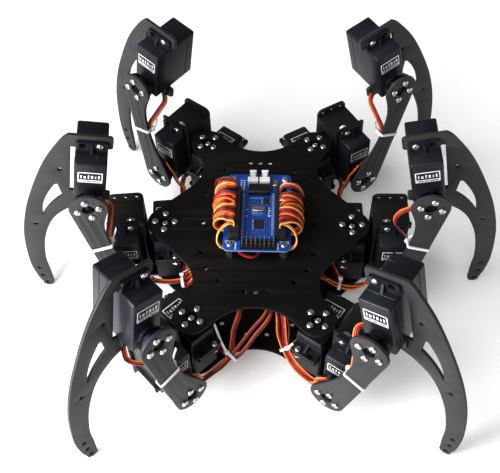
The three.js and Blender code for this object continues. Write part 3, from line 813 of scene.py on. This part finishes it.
def tibia_mesh(side):
    """Tibia plate in (outward, up) from the knee axis, a fang with a servo opening."""
    c, s = cos(KNEE_LEAN), sin(KNEE_LEAN)

    def at(across, along):
        return across * c - along * s, across * s + along * c

    # The servo slides in from the inboard side, between a lower and an upper arm.
    end, slot_low, slot_high = -13.0, -CASE_NEAR - 0.4, CASE_FAR + 0.4
    loop = [at(end, -18), at(end, slot_low - 2)]
    loop += bezier([loop[-1], at(end, slot_low), at(end + 2, slot_low)], 5)
    loop += [at(13, slot_low), at(13, slot_high), at(end + 2, slot_high)]
    loop += bezier([loop[-1], at(end, slot_high), at(end, slot_high + 2)], 5)
    loop.append(at(end, 37.5))
    loop += bezier([loop[-1], at(end, 40.5), at(end + 3, 40.5)], 6)
    outer = [at(14.5, 40.5), (11.3, 37.8), (24.7, 21.6), (37, 0.7), (49, -25), (57, -52), (60.7, -82),
             (59.6, -101)]
    loop += [tuple(p) for p in catmull(outer, 8)]
    loop += arc(TIP_X, TIP_Z, TIP_R, 0.25, -pi - 0.1, 18)
    inner = [loop[-1], (49.2, -95), (48.6, -79), (43.3, -56), (33, -35.5), (19.1, -24.8), (4, -21)]
    loop += [tuple(p) for p in catmull(inner, 8)][1:]
    loop.append(at(-10, -19.5))
    window = [(21.6, -0.5), (20.8, -12)]
    window += bezier([(20.8, -12), (31, -18), (38.2, -29.6)], 10)
    window += bezier([(38.2, -29.6), (36.5, -15), (23.4, -0.5)], 12)
    spots = ((16.8, 13, 1.4), (44.8, -38.8, 1.5), (55.6, -89.8, 1.6), (55.4, -99.4, 1.6),
             (54.4, -108.6, 1.6))
    holes = [window] + [circle(*spot, 18) for spot in spots]
    z0, z1 = sorted((side * (EARS_AT - GAP - SHEET), side * (EARS_AT - 0.03)))
    return painted(cut_sheet("tibia_plate", loop, holes, z0, z1, 0.25), LEG_GREY)


FEMURS = {side: femur_mesh(side) for side in BOTH}
TIBIAS = {side: tibia_mesh(side) for side in BOTH}


def assembled_servo(side, kind):
    """A servo with its label, a screw and nut in one hole of each ear, and at the knee its relief."""
    parts = [(SERVO, I4, None), (LABEL, I4, None)]
    for k, x in enumerate((-CASE_NEAR - EAR_HOLE_IN, CASE_FAR + EAR_HOLE_IN)):
        parts.append((SCREW, shift(x, side * 5, EAR_T, 0.4 + k), SCREW_STEEL))
        parts.append((NUT, shift(x, side * 5, -SHEET - GAP) @ FLIP, SCREW_STEEL))
    if kind == "knee":
        parts.append((RELIEF, I4, HEADER_BLACK))
    return joined(f"{kind}_servo", parts)


SERVOS = {(side, kind): assembled_servo(side, kind) for side in BOTH for kind in ("yaw", "lift", "knee")}

for leg in LEGS:
    name, side = leg.name, leg.side
    coxa, femur, tibia = f"coxa_{name}", f"femur_{name}", f"tibia_{name}"
    for piece, mesh, place, body, slot, node in (
            (f"servo_yaw_{name}", SERVOS[side, "yaw"], leg.yaw_servo, coxa, "servo_case", "yaw_servo"),
            (f"servo_lift_{name}", SERVOS[side, "lift"], leg.lift_servo, coxa, "servo_case", "lift_servo"),
            (f"bracket_{name}", BRACKET[side], leg.hip, coxa, "black_sheet", "hip_bracket"),
            (f"femur_{name}_plate", FEMURS[side], leg.femur, femur, "black_sheet", "femur_link"),
            (f"servo_knee_{name}", SERVOS[side, "knee"], leg.knee_servo, tibia, "servo_case", "knee_servo"),
            (f"tibia_{name}_plate", TIBIAS[side], leg.tibia, tibia, "black_sheet", "tibia_plate")):
        put(piece, mesh, place, body, slot, [f"{node}_{name}"])
    # Deck horn with its screws through the top deck
    x, y = arm_of(name)
    parts = [(HORN, shift(0, 0, TOP_Z - STACK), HORN_METAL),
             (SCREW, shift(0, 0, TOP_Z - SHEET, 0.6 + x * 0.02), SCREW_STEEL)]
    for k, (hx, hy) in enumerate(ring_spots(0, 0, HORN_PCD_R, ARM_TURN[name])):
        parts.append((SCREW, shift(hx, hy, TOP_Z, 0.9 * k + x * 0.07 + y * 0.05), SCREW_STEEL))
    put(f"horn_{name}", joined("deck_horn", parts), DECK @ shift(x, y, 0), "chassis", "horn_metal",
        [f"yaw_horn_{name}"])


# ---- Controller board -------------------------------------------------------------


def solder_mask():
    """Blue mask over faint copper tracks."""
    m = Nodes("solder_mask", Metallic=0.0, Specular_IOR_Level=0.5)
    tracks = m.node("ShaderNodeTexBrick", m.coords.outputs["Object"], Scale=420.0, Mortar_Size=0.035,
                    Color1=(0.0, 0.0, 0.0, 1), Color2=(0.25, 0.25, 0.25, 1), Mortar=(1, 1, 1, 1))
    tracks.offset, tracks.squash = 0.37, 1.0
    m.colour(tracks.outputs["Color"], (0.009, 0.060, 0.33), (0.030, 0.135, 0.58), 0.1, 0.9)
    m.rough(m.noise(600, 3), 0.16, 0.30)
    m.bump(tracks.outputs["Color"], 0.15, 0.00004)
    return m.material


MASK_BLUE = solder_mask()
# Pale board core: partly the core's own colour, partly a painted highlight for the glints along the board's
# edge
CORE_AND_EDGE_GLINT = plastic("board_core", (0.30, 0.42, 0.50), (0.42, 0.55, 0.62), (0.35, 0.5))
WRAP_BLUE = plastic("battery_wrap_blue", (0.015, 0.040, 0.16), (0.030, 0.075, 0.26), (0.25, 0.4), 260, 0.25)


def slab(bm, x0, x1, y0, y1, z0, z1, r=0.2, ease=0.12):
    """Small block with eased upper edges; x0 and x1 may come in either order."""
    tower(bm, min(x0, x1), max(x0, x1), min(y0, y1), max(y0, y1), r, [(z0, 0), (z1 - ease, 0), (z1, ease)])


def block(bm, x, y, half_x, half_y, z0, z1, r=0.2, ease=0.12):
    slab(bm, x - half_x, x + half_x, y - half_y, y + half_y, z0, z1, r, ease)


def board_parts():
    """The board with z = 0 on its upper face, moved up to its place."""
    on_board = shift(0, 0, BOARD_Z + BOARD_T)
    y_low, y_high = BOARD_MID - BOARD_Y / 2, BOARD_MID + BOARD_Y / 2
    holes = [circle(x, y, 1.6, 16) for x, y in COLUMNS.values()]
    parts = []

    def sheet(name, wider, z0, z1, bevel, material):
        loop = rounded_rectangle(-BOARD_X / 2 - wider, BOARD_X / 2 + wider, y_low - wider, y_high + wider,
                                 BOARD_R, 6)
        parts.append((cut_sheet(name, loop, holes, z0, z1, bevel), on_board, material))

    def made_of(material):
        """Adds the decorated function's mesh to the board in this material."""
        return lambda build: parts.append((as_mesh("board_part", build), on_board, material))

    sheet("board_sheet", 0, -BOARD_T, 0, 0.1, MASK_BLUE)
    # Pale core a little wider than the board, so a light band shows round its edge: the real core, and a
    # painted edge highlight
    sheet("board_core", 0.06, 0.35 - BOARD_T, -0.3, 0.05, CORE_AND_EDGE_GLINT)

    @made_of(PRINT_WHITE)
    def printed_marks(bm):
        """Frames by the corners, rows along both sides, short bars."""
        def mark(x0, x1, y0, y1):
            slab(bm, x0, x1, y0, y1, -0.05, 0.035, 0.1, 0.01)

        for sx in BOTH:
            mark(sx * 13.8, sx * 14.8, y_low + 0.8, y_low + 6.6)
            mark(sx * 14.8, sx * 21.6, y_low + 7.7, y_low + 8.1)
            for k in range(4):
                x = sx * (16.2 + 1.6 * k)
                mark(x - 0.45, x + 0.45, y_low + 6.3, y_low + 7.2)
            mark(sx * 10.55, sx * 10.85, -20, 18)
            for k in range(18):
                mark(sx * 9.4, sx * 10.2, -19 + 2.1 * k, -18.3 + 2.1 * k)
        for row in range(5):
            for x in (-13.2, -11.2):
                mark(x, x + 1.3, 20.5 + 2.1 * row, 21.7 + 2.1 * row)
        for k, length in enumerate((1.6, 1.0, 1.8, 1.2)):
            mark(7.0, 7.0 + length, -3.4 + 2.3 * k, -1.9 + 2.3 * k)
        mark(-6.5, 6.5, 13.2, 13.5)
        mark(-3.2, -2.8, -15.0, -5.4)
        mark(-9.0, -6.8, -3.0, -2.6)
        mark(-9.0, -6.8, 2.6, 3.0)

    # Front header: a moulded base and three rows of eight pins
    pin_columns = [-9.7 + 3.0 * i for i in range(8)]

    @made_of(HEADER_BLACK)
    def header(bm):
        for x in pin_columns:
            slab(bm, x - 1.45, x + 1.45, -31.6, -24.4, -0.1, 2.5, 0.5)

    @made_of(NICKEL)
    def pins(bm):
        for x in pin_columns:
            for j in range(3):
                block(bm, x, -30.5 + 2.5 * j, 0.32, 0.32, 2, 6.2, 0.1, 0.15)

    # Side plugs: one three-way housing for each lead, standing on its pins
    plugs = [(sx, -24.6 + 2.6 * i) for sx in BOTH for i in range(16)]

    @made_of(HEADER_BLACK)
    def housings(bm):
        for sx, y in plugs:
            tower(bm, *sorted((sx * 12.0, sx * 19.6)), y + 0.08, y + 2.5, 0.25, [
                (0.2, 0), (5.6, 0), (5.9, 0.2), (6.4, 0.2), (6.6, 0.0),
                (7.9, 0.0), (8.1, 0.25)])

    @made_of(CHIP_BLACK)
    def housing_slots(bm):
        for sx, y in plugs:
            for k in range(3):
                x = sx * (13.3 + 2.5 * k)
                slab(bm, x - 0.5, x + 0.5, y + 0.75, y + 1.8, 7.6, 8.16, 0.15, 0.02)

    # Two white power sockets at the back with their plugs, and the block in front of them
    @made_of(SOCKET_WHITE)
    def sockets(bm):
        for x in (-7.9, 0.5):
            slab(bm, x, x + 7.4, 24.2, 28.4, -0.1, 6.0, 0.5, 0.3)
            slab(bm, x + 1.9, x + 5.5, 28.1, 34.0, 1.2, 5.4, 0.4, 0.3)
            slab(bm, x + 1.2, x + 6.2, 33.6, 35.2, 0.9, 5.7, 0.4, 0.3)

    @made_of(HEADER_BLACK)
    def power_block(bm):
        slab(bm, -7.2, 7.8, 15.6, 23.6, -0.1, 4.2, 0.8, 0.5)
        slab(bm, -6.6, 7.2, 16.2, 23.0, 4.1, 4.5, 0.6, 0.2)

    made_of(PIN_GOLD)(lambda bm: slab(bm, 9.9, 13.3, 24.0, 29.4, -0.1, 1.8, 0.4, 0.3))
    made_of(SOCKET_WHITE)(lambda bm: turned(
        bm, [(1.6, -0.1), (1.6, 2.0), (1.1, 2.6)], 20, (18.8, 26.4)))

    # Crystal can, two chips with their legs, and small passives
    made_of(SCREW_STEEL)(lambda bm: tower(bm, -4.6, 5.6, -0.6, 3.9, 2.2, [
        (-0.1, -0.35), (0.5, -0.35), (0.6, 0), (3.0, 0), (3.4, 0.35)]))

    @made_of(CHIP_BLACK)
    def chips(bm):
        slab(bm, -2.6, 4.4, -13.8, -6.8, 0.2, 1.5, 0.15, 0.15)
        slab(bm, 3.4, 8.0, 8.2, 12.8, 0.2, 1.2, 0.15, 0.15)

    @made_of(NICKEL)
    def chip_legs(bm):
        for cx, cy, half, n in ((0.9, -10.3, 3.5, 8), (5.7, 10.5, 2.3, 6)):
            for k in range(n):
                t = (k + 0.5) / n * 2 * half - half
                for sx in BOTH:
                    reach = sx * (half + 0.5)
                    block(bm, cx + reach, cy + t, 0.5, 0.17, -0.05, 0.45, 0.05, 0.05)
                    block(bm, cx + t, cy + reach, 0.17, 0.5, -0.05, 0.45, 0.05, 0.05)

    chance = random.Random(7)
    spots = [(-7.6 + 1.9 * i, -19.5 + 1.8 * j) for i in range(9) for j in range(2)]
    spots += [(-7.4 + 1.6 * i, 5.6 + 2.2 * j) for i in range(6) for j in range(3)]
    spots += [(7.4, -15 + 2.2 * j) for j in range(5)] + [(-6.4, -14 + 2.4 * j) for j in range(5)]
    kept = [s for s in spots if chance.random() < 0.75]
    made_of(CHIP_BLACK)(lambda bm: [
        block(bm, x, y, 0.45, 0.38, -0.05, 0.42, 0.05, 0.06) for x, y in kept])
    made_of(NICKEL)(lambda bm: [
        block(bm, x + sx * 0.6, y, 0.18, 0.4, -0.05, 0.4, 0.05, 0.06) for x, y in kept for sx in BOTH])

    # Solder joints under the board
    joint = [(0.7, 0.05 - BOARD_T), (0.5, -0.5 - BOARD_T), (0.2, -1.1 - BOARD_T)]
    made_of(NICKEL)(lambda bm: [
        turned(bm, joint, 8, (sx * (13.3 + 2.5 * k), -22.2 + 2.6 * i))
        for sx in BOTH for k in range(3) for i in range(16)])
    return parts


put("board", joined("board", board_parts()), DECK, "chassis", "circuit_board", ["controller_board"])


# ---- Battery between the decks -----------------------------------------------------


def battery_parts():
    """Two wrapped cells side by side, two bands round them and a pale cap at each end."""
    z0, tall = BELLY_Z + SHEET + GAP, 17
    half_x, half_y, mid_y = 14.5, 35, 8
    y0, y1 = mid_y - half_y, mid_y + half_y
    cells = as_mesh("cells", lambda bm: [tower(bm, *xs, y0 + 0.6, y1 - 0.6, 3.0, [
        (z0, 0.9), (z0 + 0.9, 0.0), (z0 + tall - 0.9, 0.0), (z0 + tall, 0.9)])
        for xs in ((-half_x, -0.1), (0.1, half_x))])
    band = as_mesh("band", lambda bm: [tower(bm, -half_x - 0.05, half_x + 0.05, y - 6, y + 6, 1.5, [
        (z0 - 0.02, 0.6), (z0 + 0.6, 0.0), (z0 + tall - 0.5, 0.0), (z0 + tall + 0.08, 0.6)])
        for y in (y0 + 12, y1 - 12)])
    ends = as_mesh("ends", lambda bm: [tower(bm, -half_x + 0.8, half_x - 0.8, y - 0.6, y + 0.6, 0.3, [
        (z0 + 1.2, 0.2), (z0 + 1.5, 0.0), (z0 + tall - 1.5, 0.0), (z0 + tall - 1.2, 0.2)])
        for y in (y0 + 0.6, y1 - 0.6)])
    return [(cells, I4, WRAP_BLUE), (band, I4, HEADER_BLACK), (ends, I4, LABEL_WHITE)]


put("battery", joined("battery", battery_parts()), DECK, "chassis", "battery_wrap", ["battery_pack"])


# ---- Leads ----------------------------------------------------------------------------
WIRE_R, WIRE_PITCH, WIRE_SIDES = 0.62, 1.28, 8
SERVO_COLOURS = ("orange", "red", "brown")


def ribbon_mesh(points, steps, across, colours=SERVO_COLOURS, twist=0.0, radius=WIRE_R):
    """Flat lead of side-by-side wires on a smooth curve through points, in millimetres."""
    path = catmull(points, steps)
    side = Vector(across)
    frames = []
    for i, p in enumerate(path):
        t = (path[min(i + 1, len(path) - 1)] - path[max(i - 1, 0)]).normalized()
        side = (side - t * side.dot(t)).normalized()
        angle = twist * i / (len(path) - 1)
        sideways = side * cos(angle) + t.cross(side) * sin(angle)
        frames.append((p, sideways, t.cross(sideways)))
    parts = []
    for k, colour in enumerate(colours):
        offset = (k - (len(colours) - 1) / 2) * WIRE_PITCH
        rings = [[p + u * offset + (u * cos(a) + v * sin(a)) * radius
                  for a in (2 * pi * j / WIRE_SIDES for j in range(WIRE_SIDES))] for p, u, v in frames]
        parts.append((as_mesh("wire", lambda bm: loft(bm, rings), 60), I4, WIRE[colour]))
    return joined("lead", parts)


def put_between(name, mesh, a, b, start, end):
    """A lead put in the scene as it lies, its matrix baked into its points; start and end are in
    millimetres.
    """
    o = linked(name, mesh)
    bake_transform(o)


def started_at(ring, centre, direction):
    """The same closed loop, starting at its point furthest along a direction."""
    start = max(range(len(ring)), key=lambda i: (ring[i] - centre).dot(direction))
    return ring[start:] + ring[:start]


def zip_tie(name, loop, centre, normal, body, tail_to):
    """White cable tie round a closed loop of points in millimetres, with its head and cut tail."""
    half_width, thick = 1.0, 0.8
    normal = Vector(normal).normalized()
    rings = []
    for i, p in enumerate(loop):
        outward = (loop[(i + 1) % len(loop)] - loop[i - 1]).normalized().cross(normal)
        if outward.dot(p - centre) < 0:
            outward = -outward
        a, b = normal * half_width, outward * thick
        rings.append([p - a, p + a, p + a + b, p - a + b])

    def closed_band(bm):
        made = [[bm.verts.new(q * MM) for q in ring] for ring in rings]
        for ring, following in zip(made, made[1:] + made[:1]):
            for k in range(4):
                j = (k + 1) % 4
                bm.faces.new((ring[k], ring[j], following[j], following[k]))

    band = as_mesh("tie_band", closed_band, 40)
    p = loop[0]
    t = (loop[1] - loop[-1]).normalized()
    outward = (p - centre).normalized()
    outward = (outward - t * outward.dot(t)).normalized()
    head = as_mesh("tie_head", lambda bm: tower(
        bm, -1.7, 1.7, -1.6, 1.6, 0.4, [(0.2, 0.2), (0.5, 0.0), (2.1, 0.0), (2.5, 0.4)]))
    # The cut tail leaves the head and curves to its end
    first = p + outward * 1.9
    run = tail_to - first
    bow = first.lerp(tail_to, 0.35) + outward * 0.06 * run.length
    flat, skin = normal * 0.85, run.normalized().cross(normal).normalized() * 0.45
    strip = as_mesh("tie_tail", lambda bm: loft(bm, [
        [q - flat - skin, q + flat - skin, q + flat + skin, q - flat + skin]
        for q in catmull([first, bow, tail_to], 5)]), 40)
    head_frame = axes(t, normal, outward, p * MM)
    parts = [(band, I4, TIE_WHITE), (head, head_frame, TIE_WHITE), (strip, I4, TIE_WHITE)]
    put(name, joined("tie", parts), I4, body)


def coil_leads(side):
    """Leads that leave the side plugs, arch over the board's edge and fold under it."""
    chance = random.Random(11 if side > 0 else 5)
    arch = [(15.5, 77.6), (15.8, 81.0), (18.0, 84.2), (23.0, 84.4), (28.0, 81.2), (31.2, 75.0),
            (31.0, 68.0), (27.8, 63.4), (22.5, 62.2), (16.0, 63.5)]
    mid_x, mid_z = 23.0, 73.0
    parts = []
    count = 14
    length, size = (30.5, 0.99) if side > 0 else (36.0, 0.90)
    for i in range(count):
        layer = (0.0, 0.09, 0.17)[i % 3]
        front = 0.20 * max(0.0, 1.0 - i / 3.5)
        scale = size - layer - front - chance.uniform(0, 0.05)
        y = -15.5 + length * i / (count - 1) + chance.uniform(-0.9, 0.9)
        lean = chance.uniform(-6.0, 8.5)
        crown = chance.uniform(-2.4, 2.4)
        points = []
        for k, (x, z) in enumerate(arch):
            s = scale if k > 1 else 1.0
            t = k / (len(arch) - 1)
            points.append((side * (mid_x + (x - mid_x) * s), y + lean * (t - 0.35) + crown * sin(3 * t),
                           mid_z + (z - mid_z) * s))
        colours = SERVO_COLOURS if i % 4 else ("yellow", "red", "brown")
        if chance.random() < 0.5:
            colours = colours[::-1]
        parts.append((ribbon_mesh(points, 5, (0, 1, 0.05), colours, chance.uniform(-1.0, 1.0)), I4, None))
    # Two loose wires bow past the front plugs to the board's corner
    for k, colour in enumerate(("orange", "yellow")):
        loose = [(side * x, y - 1.6 * k, z) for x, y, z in (
            (15.0, -15.0, 77.4), (19.0, -16.0, 80.0), (25.0, -19.5, 77.0), (27.0, -23.5, 71.5),
            (24.5, -26.5, 67.8), (19.5, -26.0, 66.0))]
        parts.append((ribbon_mesh(loose, 6, (0, 1, 0), (colour,)), I4, None))
    return joined("coil", parts)


for side, word in ((-1, "left"), (1, "right")):
    put(f"lead_loops_{word}", coil_leads(side), DECK, "chassis", "lead_jacket", [f"lead_coil_{word}"])

# Where the knee lead meets the other two, in hip millimetres (outward, up, toward the output side)
GATHER = (11.5, 17, 21)
# How each knee lead hangs between the servo and the plate (to the knee, inboard, toward the plate)
PLAIN = [(67, -7, 1), (65, 6, 11.5), (59, 4.8, 18.5), (51, 1, 25.6), (44, -2.8, 27.8)]
KNEE_SLACK = {
    "front_left": [(66, -11.5, 2.5), (60.5, -16, 8), (59.5, -16.5, 12), (59, -14, 16.5), (57, -9, 21),
                   (51, -4, 26), (44, -2.8, 27.8)],
    "front_right": [(70, 2, 3), (69, 9, 8), (67, 12.5, 12), (63, 10.5, 16), (56, 5, 20), (50, 1, 25),
                    (44, -2.8, 27.8)],
    "middle_right": [(68, -3, 5), (67, 1, 11), (65, 5, 14.5), (61, 10.5, 15.5), (54, 12.4, 16),
                     (48, 9.5, 17), (44.5, 3.5, 20), (43, -1.5, 25), (42, -2.8, 27.8)],
}
ALONG_FEMUR = [(39, -4.5, 28.1), (34, -4.8, 28.1), (29, -4.2, 28.0), (23, -2, 27.6), (17.5, 2, 26.8),
               (13, 7, 26.0)]
INTO_HIP = [(18.0, 36.5, 25.0), (16.2, 29.5, 24.0), (14.6, 22.5, 22.6), GATHER]
TIE_X, TIE_SLANT = 44.0, 0.105
HIDDEN_TAILS = ("front_right", "middle_right")

for leg in LEGS:
    name = leg.name
    coxa, femur, tibia = f"coxa_{name}", f"femur_{name}", f"tibia_{name}"

    # From the knee servo to the femur
    slack = [leg.femur_at(*p) for p in KNEE_SLACK.get(name, PLAIN)]
    leave = in_mm(leg.knee_servo, -15, 0, RELIEF_Z + 0.5)
    route = [in_mm(leg.knee_servo, -11.5, 0, RELIEF_Z), leave, *slack, leg.femur_at(*ALONG_FEMUR[0])]
    put_between(f"knee_lead_{name}_upper", ribbon_mesh(route, 6, leg.out, twist=0.2), tibia, femur,
                leave, slack[-2])

    # Along the inside of the femur plate
    flat = [leg.femur_at(*p) for p in ALONG_FEMUR]
    put(f"knee_lead_{name}_femur", ribbon_mesh(flat, 6, leg.femur.to_3x3() @ Vector((0, 1, 0))),
        I4, femur, "lead_jacket", [f"knee_lead_{name}"])

    # Across the lift axis into the hip
    bend = [flat[-1], leg.femur_at(6.5, 10.0, 25.6)] + [leg.hip_at(*p) for p in INTO_HIP]
    put_between(f"knee_lead_{name}_hip", ribbon_mesh(bend, 6, leg.out), femur, coxa, bend[0], bend[3])

    # Tie round the femur's middle, its head behind the plate
    w_in, w_out = PLATE_OUT - SHEET - 2.0, PLATE_OUT + 0.1
    low_y, high_y = -FEMUR_END_R - 0.15, FEMUR_WAIST + 0.15
    ring = [leg.femur_at(TIE_X + TIE_SLANT * (y - low_y), y, w)
            for y, w in rounded_rectangle(low_y, high_y, w_in, w_out, 0.7, 3)]
    ring = started_at(ring, leg.knee / MM, (-leg.n * 0.75 - leg.out * 0.65).normalized())
    tail_end = (TIE_X + 6, -2, 24) if name in HIDDEN_TAILS else (TIE_X + 13, 8.5, 25.5)
    zip_tie(f"femur_tie_{name}", ring, leg.femur_at(TIE_X, (low_y + high_y) / 2, (w_in + w_out) / 2),
            leg.femur.to_3x3() @ Vector((1, -0.1, 0)), femur, leg.femur_at(*tail_end))


# ---- Leads from the hips to the middle of the robot -------------------------------------
# Where each bundle is tied, in hip millimetres
TIE_AT = {"front_left": (-13, 20, 22.5), "middle_left": (-8.5, 17, 23.5), "back_left": (3, 15, 28),
          "front_right": (-16.5, 21, 11), "middle_right": (-7, 17, 22), "back_right": (4, 16, 27)}
# Where its three leads pass under the top deck, in millimetres from the deck's middle
UNDER_DECK = {
    "front_left": ((-10.5, -62, 42), (8.0, -60, 43), (10.5, -61, 40)),
    "middle_left": ((-47, -15, 20), (-47, -18, 21), (-46, -21, 20)),
    "back_left": ((-45, 52, 22), (-46, 50, 23), (-47, 47, 22)),
    "front_right": ((15.0, -64, 41), (18.0, -63, 43), (20.5, -63, 41)),
    "middle_right": ((46, -13, 20), (46, -16, 21), (46, -19, 20)),
    "back_right": ((45, 52, 22), (46, 50, 23), (47, 47, 22)),
}
MIDDLE_X, MIDDLE_Y = 6.5, 8.0
ROWS = {"front": -1, "middle": 0, "back": 1}


def bundle_offsets(tangent, spread, rise):
    """Sideways and upward steps that lay three leads side by side like roof slates."""
    sideways = tangent.cross(UP).normalized()
    return [sideways * spread * (k - 1) + UP * rise * (1 if k == 1 else -0.3) for k in range(3)]


def bundle_tie(name, at, tangent, body, tail_to):
    sideways = tangent.cross(UP).normalized()
    over = sideways.cross(tangent).normalized()
    ring = [at + sideways * 4.3 * cos(a) + over * (2.5 * sin(a) + 0.4)
            for a in (2 * pi * i / 20 for i in range(20))]
    zip_tie(name, started_at(ring, at, (tail_to - at).normalized()), at, tangent, body, tail_to)


BOOT = painted(as_mesh("yaw_boot", lambda bm: tower(
    bm, -2.7, 2.7, -1.6, 1.6, 0.5, [(0, 0), (1.4, 0.1), (2.2, 0.6)])), HEADER_BLACK)
middle = ORIGIN / MM

for leg in LEGS:
    name, side, hip_at = leg.name, leg.side, leg.hip_at
    coxa = f"coxa_{name}"
    row = ROWS[name.split("_")[0]]
    gather, tied = hip_at(*GATHER), hip_at(*TIE_AT[name])
    half_way = (gather + tied) / 2 + (leg.n * 1.5 - UP * 1.0)
    top_out = middle + Vector((side * MIDDLE_X, row * MIDDLE_Y, TOP_Z - SHEET - 0.2))
    tangent = (middle + Vector(UNDER_DECK[name][1]) - gather).normalized()
    step = bundle_offsets(tangent, 1.7, 1.0)
    wide = bundle_offsets(tangent, 3.0, 0.7)
    starts = (
        [hip_at(12.9, 21.5, 21.9), gather],
        [hip_at(27, 12.0, -2.0), hip_at(22, 11.0, 9.0), hip_at(16, 13.5, 17.5)],
        [hip_at(-11.6, 22.5, -3.0), hip_at(-13.0, 21.8, 3.0)])
    for k, word in enumerate(("knee", "lift", "yaw")):
        entry = middle + Vector(UNDER_DECK[name][k])
        inner = entry.lerp(top_out, 0.40)
        inner.z = (entry.z + 46) / 2
        near_middle = entry.lerp(top_out, 0.82)
        near_middle.z = 46.0 + k
        route = list(starts[k])
        if word != "yaw":
            route.append(half_way + step[k])
        if word == "yaw" and row == 1:
            # At the back this one joins the others under the deck
            route.append(hip_at(-13.0, 21.5, 13.0))
        else:
            route += [tied + step[k], tied.lerp(entry, 0.55) + wide[k] * 0.8 - UP * 1.0]
        route += [entry, inner, near_middle, top_out + Vector((0.0, 2.2 * (k - 1), 0))]
        mesh = ribbon_mesh(route, 7, tangent.cross(UP), twist=(0.5, -0.3, 0.9)[k])
        put_between(f"{word}_lead_{name}_inner", mesh, coxa, "chassis", tied, inner)
    tail = {"front_left": hip_at(-11.5, 47.0, 8.5), "front_right": hip_at(-9.5, 38, 14),
            "middle_left": tied + Vector((5, 8, 5))}
    bundle_tie(f"bundle_tie_{name}", tied, tangent, coxa, tail.get(name, tied + UP * 6 - leg.n * 2))
    boot_frame = axes(leg.n, UP * side, -leg.out, hip_at(-10.0, 22.5, -3.0) * MM)
    put(f"yaw_boot_{name}", BOOT, boot_frame, coxa)


# Supply wires that show under the board's front edge
supply = [(-15, -22, 67.5), (-12.8, -28.6, 65.4), (-8.5, -31.2, 62.8), (-1.5, -30.8, 61.2), (3, -22, 60.1)]
for k, colour in enumerate(("red", "brown")):
    lane = [(x + 1.6 * k, y + 0.9 * k, z - 0.5 * k) for x, y, z in supply]
    wire = ribbon_mesh(lane, 7, (0, 1, 0.6), (colour,), radius=0.8)
    put(f"supply_wire_{colour}", wire, DECK, "chassis", "lead_jacket")


# ---- Floor ----------------------------------------------------------------------


def make_floor():
    bm = bmesh.new()
    reach, under_feet = 15.0, 0.0002      # metres from the middle, and below the feet
    corners = ((-reach, -reach), (reach, -reach), (reach, reach), (-reach, reach))
    bm.faces.new([bm.verts.new((x, y, 0)) for x, y in corners])
    white = plastic("floor_white", (0.88, 0.88, 0.88), (0.92, 0.92, 0.92), (0.6, 0.75), 300, 0.02)
    shader = white.node_tree.nodes["Principled BSDF"]
    shader.inputs["Emission Color"].default_value = (1, 1, 1, 1)
    shader.inputs["Emission Strength"].default_value = 0.18
    floor = linked("floor", finished("floor", bm, [white]))
    floor.location.z = -under_feet


make_floor()
